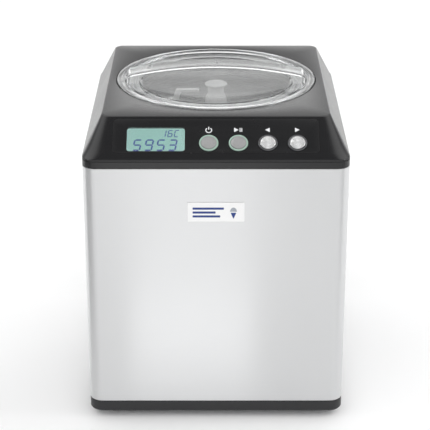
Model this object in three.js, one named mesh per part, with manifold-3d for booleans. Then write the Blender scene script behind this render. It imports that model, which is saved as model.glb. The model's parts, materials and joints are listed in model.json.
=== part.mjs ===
// Table-top compressor ice cream maker: a steel-clad case with a sloping control panel, a lift-out
// bowl in a cooled well, a turning paddle and a clear lid. Millimetres, +Z up, front towards -Y.
// The origin is on the table under the middle of the case. Heights of the case and of all that is in
// it are counted from a datum under the case, and the feet lift that datum off the table.
import * as THREE from 'three';
import Module from 'manifold-3d';
import { mergeVertices } from 'three/addons/utils/BufferGeometryUtils.js';

const wasm = await Module();
wasm.setup();

// ---- driving dimensions ----
const WIDTH = 290;
const DEPTH = 320;
const CORNER = 15;
const GAP = 0.3;

const FOOT_HEIGHT = 8;
const FOOT_RADIUS = 11;
const FOOT_X = 118;
const FOOT_Y = 132;

const CASE_BOTTOM = 4;
const SKIRT_TOP = 17.5;
const SKIRT_WALL = 3;
const PLATE_TOP = 7;
const BAND_BOTTOM = 302.5;
const GROOVE_Z = 310.2;
const SHOULDER_Z = 312.6;
const SHOULDER_ROUND = 2.5;
const PLATE_Z = 346.1;
const FRONT_RUN = 48.6;
const SIDE_RUN = 19.1;
const PLATE_CORNER = 10;
const COVER_WALL = 2.6;
const SHEET = 0.9;
const REAR_FACE = 158.5;
const REAR_FRONT = 140.5;
const REAR_WALL = 2.5;

const AXIS_Y = 26;
const LID_RADIUS = 116.3;
const LID_TOP = 347;
const LID_FLOOR = 343.4;
const LID_WALL = 2;
const RECESS_RADIUS = 117.3;
const RECESS_FLOOR = 337;
const HANDLE_TOP = 365;
const HANDLE_RISE = 12;
const HANDLE_WIDTH = 29;
const HANDLE_REACH = 104;
const HANDLE_THICK = 2.6;

const BOWL_RADIUS = 91;
const BOWL_WALL = 1.5;
const BOWL_BOTTOM = 208;
const BOWL_RIM = 340.2;
const POST_RADIUS = 11.8;
const POST_TOP = 296;
const WELL_GAP = 1.3;
const WELL_WALL = 1.2;
const WELL_BOTTOM = 205.6;
const DECK_Z = RECESS_FLOOR + GAP;
const DECK_RADIUS = 115.5;
const COIL_PIPE = 4;
const COIL_PITCH = 15;
const COIL_TURNS = 6;
const FOAM_RADIUS = 119;
const FOAM_BOTTOM = 192;
const SHAFT_RADIUS = 4.5;
const SHAFT_TOP = 322;

const PADDLE_TOP = 340;
const HUB_RADIUS = 13;
const NECK_RADIUS = 9.8;
const CAP_RADIUS = 14;
const BLADE_REACH = 86.5;
const BLADE_TOP = 330;

const BUTTON_X = [-7.9, 24.2, 56.1, 88.1];
const BUTTON_V = 23;
const BUTTON_RADIUS = 8.4;
const RING_RADIUS = 10.4;
const WINDOW = { x: -65.2, v: 27.8, width: 63.4, height: 31.5, corner: 3 };
const FASCIA = { x: 0, v: 32.6, width: 224.8, height: 46.4, corner: 5 };

const BADGE = { z: 252.5, width: 61.8, height: 22.5, thick: 0.4 };

const GEAR_MODULE = 1.1;
const GEAR_TEETH = 48;
const PINION_TEETH = 12;
const GEAR_LINE = -Math.PI / 6;
const GEARBOX_FLOOR = 156;
const GEARBOX_TOP = 180;

const SIDE_SLOTS = { count: 11, pitch: 9, height: 3.2, bottom: 42, front: -30, back: 50 };
const LOUVRES = { count: 14, pitch: 9, height: 3.4, bottom: 78, reach: 70 };
const SCREW_BOSS = 6;
const SCREW_BORE = 2.3;
const INLET = { x: 92, z: 52, halfWidth: 14, halfHeight: 10.5 };
const SEGMENTS = 40;
const FINE = 16;
const SMALL = 12;

// ---- worked out from them ----
const HALF_W = WIDTH / 2;
const HALF_D = DEPTH / 2;
const DATUM = FOOT_HEIGHT - CASE_BOTTOM;
const SLOPE_RISE = PLATE_Z - SHOULDER_Z;
const SLOPE = Math.atan2(SLOPE_RISE, FRONT_RUN);
const GEAR_SPACING = GEAR_MODULE * (GEAR_TEETH + PINION_TEETH) / 2;
const WELL_RADIUS = BOWL_RADIUS + WELL_GAP;
const COIL_RADIUS = WELL_RADIUS + WELL_WALL + COIL_PIPE + 1.3;
const FOAM_INNER = COIL_RADIUS + COIL_PIPE + 0.8;

// ---- geometry helpers ----

// One closed geometry of shared vertices with its faces pointing out.
function closed(geometry) {
  const bare = geometry.clone();
  bare.deleteAttribute('normal');
  bare.deleteAttribute('uv');
  const merged = mergeVertices(bare, 1e-3);
  const at = merged.attributes.position.array;
  const index = Array.from(merged.index.array);
  const kept = [];
  let volume = 0;
  const p = (i) => new THREE.Vector3(at[3 * i], at[3 * i + 1], at[3 * i + 2]);
  for (let i = 0; i < index.length; i += 3) {
    const [a, b, c] = index.slice(i, i + 3);
    if (a === b || b === c || a === c) continue;
    kept.push(a, b, c);
    volume += p(a).dot(p(b).cross(p(c)));
  }
  if (volume < 0) kept.reverse();
  merged.setIndex(kept);
  return merged;
}

function toSolid(geometry) {
  const g = closed(geometry);
  return new wasm.Manifold(new wasm.Mesh({
    numProp: 3,
    vertProperties: new Float32Array(g.attributes.position.array),
    triVerts: new Uint32Array(g.index.array),
  }));
}

function toGeometry(solid) {
  const mesh = solid.getMesh();
  const g = new THREE.BufferGeometry();
  g.setAttribute('position', new THREE.BufferAttribute(mesh.vertProperties, 3));
  g.setIndex(new THREE.BufferAttribute(mesh.triVerts, 1));
  return g;
}

function cut(body, ...tools) {
  return toGeometry(tools.reduce((left, tool) => left.subtract(toSolid(tool)), toSolid(body)));
}

function join(body, ...others) {
  return toGeometry(others.reduce((sum, other) => sum.add(toSolid(other)), toSolid(body)));
}

function box(x0, x1, y0, y1, z0, z1) {
  const g = new THREE.BoxGeometry(x1 - x0, y1 - y0, z1 - z0);
  return g.translate((x0 + x1) / 2, (y0 + y1) / 2, (z0 + z1) / 2);
}

// Upright cylinder between two heights.
function disc(radius, z0, z1, x = 0, y = 0, segments = 24) {
  const g = new THREE.CylinderGeometry(radius, radius, z1 - z0, segments);
  return g.rotateX(Math.PI / 2).translate(x, y, (z0 + z1) / 2);
}

// Turned body from [radius, height] pairs about the upright line through (x, y).
function turned(profile, x = 0, y = 0, segments = SEGMENTS) {
  const points = profile.map(([r, z]) => new THREE.Vector2(r, z));
  return new THREE.LatheGeometry(points, segments).rotateX(Math.PI / 2).translate(x, y, 0);
}

// The same for a hollow body, whose profile closes on itself.
function turnedRing(profile, x = 0, y = 0, segments = SEGMENTS) {
  return turned([...profile, profile[0]], x, y, segments);
}

function roundedShape(width, height, corner) {
  const [w, h] = [width / 2, height / 2];
  const s = new THREE.Shape();
  s.moveTo(-w + corner, -h);
  s.lineTo(w - corner, -h);
  s.absarc(w - corner, -h + corner, corner, -Math.PI / 2, 0, false);
  s.lineTo(w, h - corner);
  s.absarc(w - corner, h - corner, corner, 0, Math.PI / 2, false);
  s.lineTo(-w + corner, h);
  s.absarc(-w + corner, h - corner, corner, Math.PI / 2, Math.PI, false);
  s.lineTo(-w, -h + corner);
  s.absarc(-w + corner, -h + corner, corner, Math.PI, 1.5 * Math.PI, false);
  return s;
}

function slab(shape, z0, z1, curveSegments = 5) {
  const g = new THREE.ExtrudeGeometry(shape, { depth: z1 - z0, bevelEnabled: false, curveSegments });
  return g.translate(0, 0, z0);
}

// Rounded rectangle at one height, as a ring of points; the insets move its sides in.
function ring(z, front, side, back, corner, steps = 5) {
  const [x, y0, y1] = [HALF_W - side, -HALF_D + front, HALF_D - back];
  const centres = [[x - corner, y0 + corner, -1], [x - corner, y1 - corner, 0],
    [-x + corner, y1 - corner, 1], [-x + corner, y0 + corner, 2]];
  const points = [];
  for (const [cx, cy, quarter] of centres) {
    for (let i = 0; i <= steps; i++) {
      const a = (quarter + i / steps) * Math.PI / 2;
      points.push([cx + corner * Math.cos(a), cy + corner * Math.sin(a), z]);
    }
  }
  return points;
}

// Closed body through a stack of rings, with a flat cap on the first and the last.
function stack(rings) {
  const n = rings[0].length;
  const vertices = rings.flat(2);
  const index = [];
  for (let r = 0; r + 1 < rings.length; r++) {
    for (let i = 0; i < n; i++) {
      const [a, b] = [r * n + i, r * n + (i + 1) % n];
      index.push(a, b, b + n, a, b + n, a + n);
    }
  }
  const last = (rings.length - 1) * n;
  for (let i = 1; i + 1 < n; i++) {
    index.push(0, i + 1, i, last, last + i, last + i + 1);
  }
  const g = new THREE.BufferGeometry();
  g.setAttribute('position', new THREE.Float32BufferAttribute(vertices, 3));
  g.setIndex(index);
  return g;
}

function pipe(points, radius, steps, sides = 8) {
  const curve = new THREE.CatmullRomCurve3(points.map((p) => new THREE.Vector3(...p)));
  return sweep(curve, radius, steps, sides);
}

function sweep(curve, radius, steps, sides = 8) {
  const section = new THREE.Shape();
  for (let i = 0; i < sides; i++) {
    const a = 2 * Math.PI * i / sides;
    section[i ? 'lineTo' : 'moveTo'](radius * Math.cos(a), radius * Math.sin(a));
  }
  return new THREE.ExtrudeGeometry(section, { steps, bevelEnabled: false, extrudePath: curve });
}

// Moves a shape drawn flat onto the sloping panel: x across, v up the slope, lift along its normal.
function onSlope(geometry, x, v, lift = 0) {
  const [c, s] = [Math.cos(SLOPE), Math.sin(SLOPE)];
  geometry.rotateX(SLOPE);
  return geometry.translate(x, -HALF_D + v * c - lift * s, SHOULDER_Z + v * s + lift * c);
}

// ---- materials ----
const finish = (color, roughness, metalness = 0, opacity = 1) => new THREE.MeshStandardMaterial({
  color, roughness, metalness, opacity, transparent: opacity < 1,
});
const BLACK = () => finish(0x1c1d1f, 0.35);
const STEEL = () => finish(0xc9cacb, 0.32, 1);
const ALUMINIUM = () => finish(0xb9bbbd, 0.3, 1);
const CHROME = () => finish(0xd8dadc, 0.12, 1);
const CLEAR = () => finish(0xe8eef0, 0.05, 0, 0.35);
const WHITE = () => finish(0xf1f1ee, 0.4);
const RUBBER = () => finish(0x232323, 0.85);
const COPPER = () => finish(0xb87348, 0.35, 1);
const BRASS = () => finish(0xb79a55, 0.35, 1);
const CIRCUIT = () => finish(0x1f5c3a, 0.5);
const NYLON = () => finish(0xdedbd0, 0.5);
const FOAM = () => finish(0xd9c689, 0.95);

const maker = new THREE.Group();
function piece(name, geometry, material) {
  const mesh = new THREE.Mesh(closed(geometry), material);
  mesh.name = name;
  mesh.position.z = DATUM;
  maker.add(mesh);
}

// ---- case ----

// Moulded skirt round the foot of the case, open above and below.
function baseSkirt() {
  const outer = stack([
    ring(CASE_BOTTOM, 1.6, 1.6, 1.6, CORNER - 1.6),
    ring(CASE_BOTTOM + 1.2, 0.4, 0.4, 0.4, CORNER - 0.4),
    ring(CASE_BOTTOM + 2.5, 0, 0, 0, CORNER),
    ring(SKIRT_TOP - GAP, 0, 0, 0, CORNER),
  ]);
  const inside = (z) => ring(z, SKIRT_WALL, SKIRT_WALL, SKIRT_WALL, CORNER - SKIRT_WALL);
  return cut(outer, stack([inside(CASE_BOTTOM - 5), inside(SKIRT_TOP + 5)]));
}

// Plate inside the skirt, which carries the compressor and the feet.
function basePlate() {
  const inset = SKIRT_WALL + GAP;
  return slab(roundedShape(WIDTH - 2 * inset, DEPTH - 2 * inset, CORNER - inset), CASE_BOTTOM, PLATE_TOP);
}

function foot(x, y) {
  const [low, high] = [-DATUM, CASE_BOTTOM - GAP];
  return turned([[0, low], [FOOT_RADIUS - 1.5, low], [FOOT_RADIUS, low + 1.2], [FOOT_RADIUS, high],
    [0, high]], x, y, FINE);
}

// Bent sheet round the front and both sides.
function steelWrap() {
  const outline = new THREE.Shape();
  const end = REAR_FRONT - GAP;
  const inner = CORNER - SHEET;
  const [cx, cy] = [HALF_W - CORNER, -HALF_D + CORNER + 0.8];
  outline.moveTo(-HALF_W, end);
  outline.lineTo(-HALF_W, cy);
  outline.absarc(-cx, cy, CORNER, Math.PI, 1.5 * Math.PI, false);
  outline.lineTo(cx, cy - CORNER);
  outline.absarc(cx, cy, CORNER, -Math.PI / 2, 0, false);
  outline.lineTo(HALF_W, end);
  outline.lineTo(HALF_W - SHEET, end);
  outline.lineTo(HALF_W - SHEET, cy);
  outline.absarc(cx, cy, inner, 0, -Math.PI / 2, true);
  outline.lineTo(-cx, cy - inner);
  outline.absarc(-cx, cy, inner, 1.5 * Math.PI, Math.PI, true);
  outline.lineTo(-HALF_W + SHEET, end);
  const sheet = slab(outline, SKIRT_TOP, BAND_BOTTOM - GAP, 6);
  return cut(sheet, ...sideSlots());
}

// Ventilation slots through both sides, in one upright row.
function sideSlots() {
  const slots = [];
  const { count, pitch, height, bottom, front, back } = SIDE_SLOTS;
  for (let i = 0; i < count; i++) {
    const z = bottom + pitch * i;
    slots.push(box(-HALF_W - 5, HALF_W + 5, front, back, z, z + height));
  }
  return slots;
}

const REAR_SCREWS = [[-132, 30], [132, 30], [-132, 290], [132, 290]];

function rearCover() {
  const outline = new THREE.Shape();
  const [cx, cy] = [HALF_W - CORNER, REAR_FACE - CORNER];
  outline.moveTo(-HALF_W, REAR_FRONT);
  outline.lineTo(HALF_W, REAR_FRONT);
  outline.lineTo(HALF_W, cy);
  outline.absarc(cx, cy, CORNER, 0, Math.PI / 2, false);
  outline.lineTo(-cx, REAR_FACE);
  outline.absarc(-cx, cy, CORNER, Math.PI / 2, Math.PI, false);
  const shell = slab(outline, SKIRT_TOP, BAND_BOTTOM - GAP, 6);
  const hollow = slab(roundedShape(WIDTH - 2 * REAR_WALL, 60, CORNER - REAR_WALL),
    SKIRT_TOP + REAR_WALL, BAND_BOTTOM + 5, 6).translate(0, REAR_FACE - REAR_WALL - 30, 0);
  const [inside, outside] = [REAR_FACE - 8, REAR_FACE + 8];
  const cuts = [hollow, box(INLET.x - INLET.halfWidth, INLET.x + INLET.halfWidth, inside, outside,
    INLET.z - INLET.halfHeight, INLET.z + INLET.halfHeight)];
  for (let i = 0; i < LOUVRES.count; i++) {
    const z = LOUVRES.bottom + LOUVRES.pitch * i;
    cuts.push(box(-LOUVRES.reach, LOUVRES.reach, inside, outside, z, z + LOUVRES.height));
  }
  const boss = () => disc(SCREW_BOSS, 0, 12, 0, 0, SMALL);
  const bore = () => disc(SCREW_BORE, 0, 30, 0, 0, SMALL);
  const bosses = REAR_SCREWS.map(([x, z]) => across(boss(), x, REAR_FACE - 13, z));
  const bores = REAR_SCREWS.map(([x, z]) => across(bore(), x, REAR_FACE - 20, z));
  return cut(join(cut(shell, ...cuts), ...bosses), ...bores);
}

// Turns an upright shape so that its height runs towards +Y from y.
function across(geometry, x, y, z) {
  return geometry.rotateX(-Math.PI / 2).translate(x, y, z);
}

function rearScrew(x, z) {
  const screw = turned([[0, -12], [1.9, -11], [1.9, GAP], [4, GAP], [3.6, 1.1], [2, 1.4], [0, 1.4]],
    0, 0, SMALL);
  return across(screw, x, REAR_FACE, z);
}

// How far the cover's side has moved in at a height: upright, rounded over, then sloping.
function insetAt(z, run) {
  const round = SHOULDER_ROUND;
  const turn = Math.atan2(run, SLOPE_RISE);
  const tangent = round * Math.tan(turn / 2);
  const start = SHOULDER_Z - tangent;
  const end = SHOULDER_Z + tangent * Math.cos(turn);
  if (z <= start) return 0;
  if (z < end) return round - Math.sqrt(round * round - (z - start) ** 2);
  return (z - SHOULDER_Z) / SLOPE_RISE * run;
}

function coverRing(z, extra = 0, drop = 0) {
  const t = Math.max(0, (z - SHOULDER_Z) / SLOPE_RISE);
  const corner = CORNER + (PLATE_CORNER - CORNER) * t - Math.min(extra, 3);
  return ring(z - drop, insetAt(z, FRONT_RUN) + extra, insetAt(z, SIDE_RUN) + extra, extra, corner);
}

function topCover() {
  const above = [0.3, 0.6, 1, 1.7, 2.8, 12, 23];
  const heights = [...above.map((rise) => GROOVE_Z + 0.9 + rise), PLATE_Z - 0.5];
  const edge = 0.7;
  const outer = stack([
    ring(BAND_BOTTOM, 0, 0, 0, CORNER),
    ring(GROOVE_Z, 0, 0, 0, CORNER),
    ring(GROOVE_Z, 0.9, 0.9, 0.9, CORNER - 0.9),
    ring(GROOVE_Z + 0.9, 0.9, 0.9, 0.9, CORNER - 0.9),
    ring(GROOVE_Z + 0.9, 0, 0, 0, CORNER),
    ...heights.map((z) => coverRing(z)),
    ring(PLATE_Z, FRONT_RUN + edge, SIDE_RUN + edge, edge, PLATE_CORNER),
  ]);
  const inner = stack([
    ring(BAND_BOTTOM - 5, COVER_WALL, COVER_WALL, COVER_WALL, CORNER - COVER_WALL),
    ring(SHOULDER_Z - 3, COVER_WALL, COVER_WALL, COVER_WALL, CORNER - COVER_WALL),
    ring(SHOULDER_Z - 1.2, 3.6, COVER_WALL, COVER_WALL, CORNER - COVER_WALL),
    coverRing(PLATE_Z - 0.5, COVER_WALL + 0.4, 2.7),
  ]);
  const y = AXIS_Y;
  const cup = disc(RECESS_RADIUS + COVER_WALL, RECESS_FLOOR - COVER_WALL, PLATE_Z - 1, 0, y, SEGMENTS);
  const recess = disc(RECESS_RADIUS, RECESS_FLOOR, PLATE_Z + 10, 0, y, SEGMENTS);
  const mouth = disc(WELL_RADIUS + WELL_WALL + 1, 300, PLATE_Z, 0, y, SEGMENTS);
  const holes = BUTTON_X.map((x) => onSlope(disc(RING_RADIUS + GAP, -14, 5, 0, 0, FINE), x, BUTTON_V));
  const window = onSlope(slab(roundedShape(WINDOW.width, WINDOW.height, WINDOW.corner), -14, 5),
    WINDOW.x, WINDOW.v);
  const seat = onSlope(slab(roundedShape(FASCIA.width, FASCIA.height, FASCIA.corner), -0.8, 6),
    FASCIA.x, FASCIA.v);
  return cut(join(cut(outer, inner), cup), recess, mouth, ...holes, window, seat);
}

// ---- control panel ----

function fascia() {
  const shape = roundedShape(FASCIA.width - 2 * GAP, FASCIA.height - 2 * GAP, FASCIA.corner);
  for (const x of BUTTON_X) {
    const hole = new THREE.Path();
    hole.absarc(x - FASCIA.x, BUTTON_V - FASCIA.v, RING_RADIUS + GAP, 0, 2 * Math.PI, false);
    shape.holes.push(hole);
  }
  const window = roundedShape(WINDOW.width, WINDOW.height, WINDOW.corner);
  const corners = window.getPoints(5).map((p) => p.add(
    new THREE.Vector2(WINDOW.x - FASCIA.x, WINDOW.v - FASCIA.v)));
  shape.holes.push(new THREE.Path(corners));
  return onSlope(slab(shape, -0.5, 0, 8), FASCIA.x, FASCIA.v);
}

function displayWindow() {
  const shape = roundedShape(WINDOW.width - 2 * GAP, WINDOW.height - 2 * GAP, WINDOW.corner);
  return onSlope(slab(shape, -1.8, -0.1), WINDOW.x, WINDOW.v);
}

function displayModule() {
  const glass = slab(roundedShape(WINDOW.width - 1, WINDOW.height - 1, 2), -4.6, -2.1);
  const frame = box(-34, 34, -19.5, 19.5, -10.6, -4.5);
  return onSlope(join(frame, glass), WINDOW.x, WINDOW.v);
}

function controlBoard() {
  const board = box(-106, 106, -21, 21, -13, -11.4);
  const switches = BUTTON_X.map((x) => box(x - 3, x + 3, BUTTON_V - FASCIA.v - 3, BUTTON_V - FASCIA.v + 3,
    -11.5, -9));
  return onSlope(join(board, ...switches), FASCIA.x, FASCIA.v);
}

function button(x) {
  const cap = turned([[0, -7.2], [2.6, -7.2], [2.6, -4], [BUTTON_RADIUS, -4], [BUTTON_RADIUS, 0.8],
    [BUTTON_RADIUS - 0.9, 1.5], [0, 1.5]], 0, 0, FINE);
  return onSlope(cap, x, BUTTON_V);
}

function buttonRing(x) {
  const inner = BUTTON_RADIUS + GAP;
  const collar = turnedRing([[inner, -3.6], [RING_RADIUS, -3.6], [RING_RADIUS, 0.5], [RING_RADIUS - 0.5, 1],
    [inner, 1]], 0, 0, FINE);
  return onSlope(collar, x, BUTTON_V);
}

function badge() {
  const plate = slab(roundedShape(BADGE.width, BADGE.height, 0.6), 0, BADGE.thick, 2);
  return plate.rotateX(Math.PI / 2).translate(0, -HALF_D + 0.8 - GAP, BADGE.z);
}

// ---- lid ----

function lid() {
  const skirt = DECK_Z + WELL_WALL + GAP;
  return turned([
    [0, LID_FLOOR - LID_WALL],
    [LID_RADIUS - 16, LID_FLOOR - LID_WALL],
    [LID_RADIUS - 3.6, LID_TOP - 1.6 - LID_WALL],
    [LID_RADIUS - 3, skirt],
    [LID_RADIUS - 0.8, skirt],
    [LID_RADIUS, LID_TOP - 1],
    [LID_RADIUS - 0.8, LID_TOP],
    [LID_RADIUS - 5, LID_TOP],
    [LID_RADIUS - 9.2, LID_TOP - 1.2],
    [LID_RADIUS - 11.5, LID_FLOOR],
    [0, LID_FLOOR],
  ], 0, AXIS_Y);
}

// Arched strap over the lid, standing on a foot at each end.
function lidHandle() {
  const reach = HANDLE_REACH;
  const end = HANDLE_TOP - HANDLE_RISE;
  const curve = (reach * reach + HANDLE_RISE * HANDLE_RISE) / (2 * HANDLE_RISE);
  const height = (x) => HANDLE_TOP - curve + Math.sqrt(curve * curve - x * x);
  const shape = new THREE.Shape();
  const steps = 16;
  const inner = reach - 6;
  shape.moveTo(-reach, LID_FLOOR + GAP);
  shape.lineTo(-inner, LID_FLOOR + GAP);
  shape.lineTo(-inner, end - HANDLE_THICK - 1.5);
  for (let i = 1; i < steps; i++) {
    const x = -inner + 2 * inner * i / steps;
    shape.lineTo(x, height(x) - HANDLE_THICK);
  }
  shape.lineTo(inner, end - HANDLE_THICK - 1.5);
  shape.lineTo(inner, LID_FLOOR + GAP);
  shape.lineTo(reach, LID_FLOOR + GAP);
  for (let i = 0; i <= steps; i++) {
    const x = reach - 2 * reach * i / steps;
    shape.lineTo(x, height(x));
  }
  const strap = slab(shape, -HANDLE_WIDTH / 2, HANDLE_WIDTH / 2);
  return strap.rotateX(Math.PI / 2).translate(0, AXIS_Y, 0);
}

// ---- bowl, paddle and cooled well ----

function bowl() {
  const inner = BOWL_RADIUS - BOWL_WALL;
  const seat = DECK_Z + WELL_WALL + GAP;
  const floor = BOWL_BOTTOM + BOWL_WALL;
  return turnedRing([
    [POST_RADIUS - BOWL_WALL, BOWL_BOTTOM],
    [BOWL_RADIUS - 8, BOWL_BOTTOM],
    [BOWL_RADIUS - 2.4, BOWL_BOTTOM + 2.4],
    [BOWL_RADIUS, BOWL_BOTTOM + 8],
    [BOWL_RADIUS, seat],
    [BOWL_RADIUS + 5, seat],
    [BOWL_RADIUS + 5, BOWL_RIM],
    [inner, BOWL_RIM],
    [inner, floor + 7],
    [inner - 2.2, floor + 2.2],
    [inner - 7, floor],
    [POST_RADIUS + 1.5, floor],
    [POST_RADIUS, floor + 1.5],
    [POST_RADIUS, POST_TOP],
    [SHAFT_RADIUS + GAP, POST_TOP],
    [SHAFT_RADIUS + GAP, POST_TOP - BOWL_WALL],
    [POST_RADIUS - BOWL_WALL, POST_TOP - BOWL_WALL],
  ], 0, AXIS_Y);
}

// Hub with a mushroom cap, a tall scraping blade to one side and a low floor blade to the other.
function paddle() {
  const [bottom, floor] = [BOWL_BOTTOM + BOWL_WALL + 1, BOWL_BOTTOM + BOWL_WALL + 1.5];
  const bore = POST_RADIUS + 0.6;
  const hub = turned([
    [0, PADDLE_TOP], [CAP_RADIUS - 3, PADDLE_TOP], [CAP_RADIUS, PADDLE_TOP - 2.2],
    [CAP_RADIUS - 1, PADDLE_TOP - 4], [NECK_RADIUS, PADDLE_TOP - 5.5], [NECK_RADIUS, PADDLE_TOP - 16],
    [HUB_RADIUS, PADDLE_TOP - 24], [HUB_RADIUS + 2, PADDLE_TOP - 42], [HUB_RADIUS + 3, bottom],
    [0, bottom],
  ], 0, 0, 24);
  const blade = tallBlade(floor);
  const sweepArm = box(HUB_RADIUS, BLADE_REACH - 4, -3, 3, floor, floor + 16);
  const socket = disc(SHAFT_RADIUS + GAP, POST_TOP - 20, SHAFT_TOP + GAP, 0, 0, 6);
  const hollow = disc(bore, BOWL_BOTTOM - 5, POST_TOP + 1, 0, 0, 24);
  return cut(join(hub, blade, sweepArm), socket, hollow).translate(0, AXIS_Y, 0);
}

// Flat upright blade on the -X side, a frame that is open towards the hub.
function tallBlade(floor) {
  const shape = new THREE.Shape();
  shape.moveTo(-HUB_RADIUS, floor);
  shape.lineTo(-BLADE_REACH + 8, floor);
  shape.lineTo(-BLADE_REACH, floor + 8);
  shape.lineTo(-BLADE_REACH, BLADE_TOP - 6);
  shape.lineTo(-BLADE_REACH + 6, BLADE_TOP);
  shape.lineTo(-24, BLADE_TOP);
  shape.lineTo(-20, BLADE_TOP - 4);
  shape.lineTo(-20, BLADE_TOP - 10);
  shape.lineTo(-70, BLADE_TOP - 16);
  shape.lineTo(-74, BLADE_TOP - 22);
  shape.lineTo(-74, floor + 32);
  shape.lineTo(-66, floor + 24);
  shape.lineTo(-HUB_RADIUS, floor + 24);
  return slab(shape, -3.2, 3.2).rotateX(Math.PI / 2);
}

function coolingWell() {
  const [inner, outer] = [WELL_RADIUS, WELL_RADIUS + WELL_WALL];
  const tube = SHAFT_RADIUS + 2.4;
  const floor = WELL_BOTTOM + WELL_WALL;
  return turnedRing([
    [tube, WELL_BOTTOM],
    [outer - 9, WELL_BOTTOM],
    [outer - 2.8, WELL_BOTTOM + 2.8],
    [outer, WELL_BOTTOM + 9],
    [outer, DECK_Z],
    [DECK_RADIUS, DECK_Z],
    [DECK_RADIUS, DECK_Z + WELL_WALL],
    [inner, DECK_Z + WELL_WALL],
    [inner, floor + 8.5],
    [inner - 2.6, floor + 2.6],
    [inner - 8.5, floor],
    [tube + WELL_WALL, floor],
    [tube + WELL_WALL, floor + 26],
    [tube, floor + 26],
  ], 0, AXIS_Y);
}

class Helix extends THREE.Curve {
  getPoint(t, target = new THREE.Vector3()) {
    const a = Math.PI * 0.75 + 2 * Math.PI * COIL_TURNS * t;
    const z = BOWL_BOTTOM + 14 + COIL_PITCH * COIL_TURNS * t;
    return target.set(COIL_RADIUS * Math.cos(a), AXIS_Y + COIL_RADIUS * Math.sin(a), z);
  }
}

function insulation() {
  const top = RECESS_FLOOR - COVER_WALL - 0.6;
  const coat = turnedRing([
    [14, FOAM_BOTTOM],
    [FOAM_RADIUS, FOAM_BOTTOM],
    [FOAM_RADIUS, top],
    [FOAM_INNER, top],
    [FOAM_INNER, WELL_BOTTOM - 1],
    [14, WELL_BOTTOM - 1],
  ], 0, AXIS_Y);
  const notch = box(90, 140, -8, 8, BOWL_BOTTOM + 4, top + 10);
  return cut(coat, notch.rotateZ(Math.PI * 0.75).translate(0, AXIS_Y, 0));
}

// Pipes between the coil, which ends in the rear left corner, and the compressor.
function suctionPipe() {
  return pipe([[-78, 107, 312], [-92, 121, 308], [-101, 129, 290], [-102, 130, 200], [-100, 122, 152],
    [-88, 96, 132]], 3.2, 24, 6);
}

function dischargePipe() {
  return pipe([[-40, -34, 62], [-30, -62, 48], [0, -80, 40], [80, -80, 40], [120, -76, 48], [126, -64, 70]],
    2.6, 24, 6);
}

// ---- drive ----

// Round shaft with a hexagonal drive at its top end.
function driveShaft() {
  const round = turned([[0, GEARBOX_FLOOR + 3.4], [SHAFT_RADIUS, GEARBOX_FLOOR + 3.4],
    [SHAFT_RADIUS, POST_TOP], [0, POST_TOP]], 0, 0, 18);
  return join(round, disc(SHAFT_RADIUS - GAP, POST_TOP - 1, SHAFT_TOP, 0, 0, 6)).translate(0, AXIS_Y, 0);
}

function shaftBush() {
  const [inner, outer] = [SHAFT_RADIUS + GAP, SHAFT_RADIUS + 2.1];
  return turnedRing([[inner, 212], [outer, 212], [outer, 233.4], [outer + 1.8, 233.4], [outer + 1.8, 235.4],
    [inner, 235.4]], 0, AXIS_Y, FINE);
}

// Spur gear: straight-flanked teeth, thinned a little for running clearance.
function gear(teeth, phase, bore, z0, z1, at) {
  const pitch = GEAR_MODULE * teeth / 2;
  const [tip, root] = [pitch + 0.85 * GEAR_MODULE, pitch - 1.2 * GEAR_MODULE];
  const step = 2 * Math.PI / teeth;
  const shape = new THREE.Shape();
  const corners = [[root, -0.34], [tip, -0.11], [tip, 0.11], [root, 0.34]];
  for (let i = 0; i < teeth; i++) {
    corners.forEach(([r, part], k) => {
      const a = phase + (i + part) * step;
      shape[i + k ? 'lineTo' : 'moveTo'](r * Math.cos(a), r * Math.sin(a));
    });
  }
  if (bore) {
    const hole = new THREE.Path();
    hole.absarc(0, 0, bore, 0, 2 * Math.PI, true);
    shape.holes.push(hole);
  }
  return slab(shape, z0, z1, 6).translate(at.x, at.y, 0);
}

// A point on the line of gear centres, counted in centre distances from the bowl's axis.
function gearCentre(count) {
  const reach = GEAR_SPACING * count;
  return new THREE.Vector2(reach * Math.cos(GEAR_LINE), AXIS_Y + reach * Math.sin(GEAR_LINE));
}

const MESH_PHASE = GEAR_LINE + Math.PI + Math.PI / PINION_TEETH;
const LOW_GEARS = [GEARBOX_FLOOR + 4, GEARBOX_FLOOR + 10];
const HIGH_GEARS = [GEARBOX_FLOOR + 12, GEARBOX_FLOOR + 18];

function outputGear() {
  return gear(GEAR_TEETH, GEAR_LINE, SHAFT_RADIUS + GAP, ...LOW_GEARS, gearCentre(0));
}

function middleGear() {
  const at = gearCentre(1);
  const small = gear(PINION_TEETH, MESH_PHASE, 0, LOW_GEARS[0] - 0.5, HIGH_GEARS[0] + 1, at);
  const big = gear(GEAR_TEETH, GEAR_LINE, 0, ...HIGH_GEARS, at);
  return cut(join(small, big), disc(2.3, 0, 400, at.x, at.y, 16));
}

function motorPinion() {
  const at = gearCentre(2);
  const teeth = gear(PINION_TEETH, MESH_PHASE, 0, ...HIGH_GEARS, at);
  return join(teeth, disc(2.5, GEARBOX_FLOOR - 6, HIGH_GEARS[0] + 2, at.x, at.y, 16));
}

function middleAxle() {
  const at = gearCentre(1);
  return disc(2, GEARBOX_FLOOR + 2.9, GEARBOX_TOP - 3.2, at.x, at.y, 16);
}

// Long round-ended plate round the line of gear centres.
function gearboxPlate(radius, z0, z1) {
  const length = 2 * GEAR_SPACING;
  const shape = new THREE.Shape();
  shape.moveTo(0, -radius);
  shape.lineTo(length, -radius);
  shape.absarc(length, 0, radius, -Math.PI / 2, Math.PI / 2, false);
  shape.lineTo(0, radius);
  shape.absarc(0, 0, radius, Math.PI / 2, 1.5 * Math.PI, false);
  return slab(shape, z0, z1, 12).rotateZ(GEAR_LINE).translate(0, AXIS_Y, 0);
}

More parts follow.
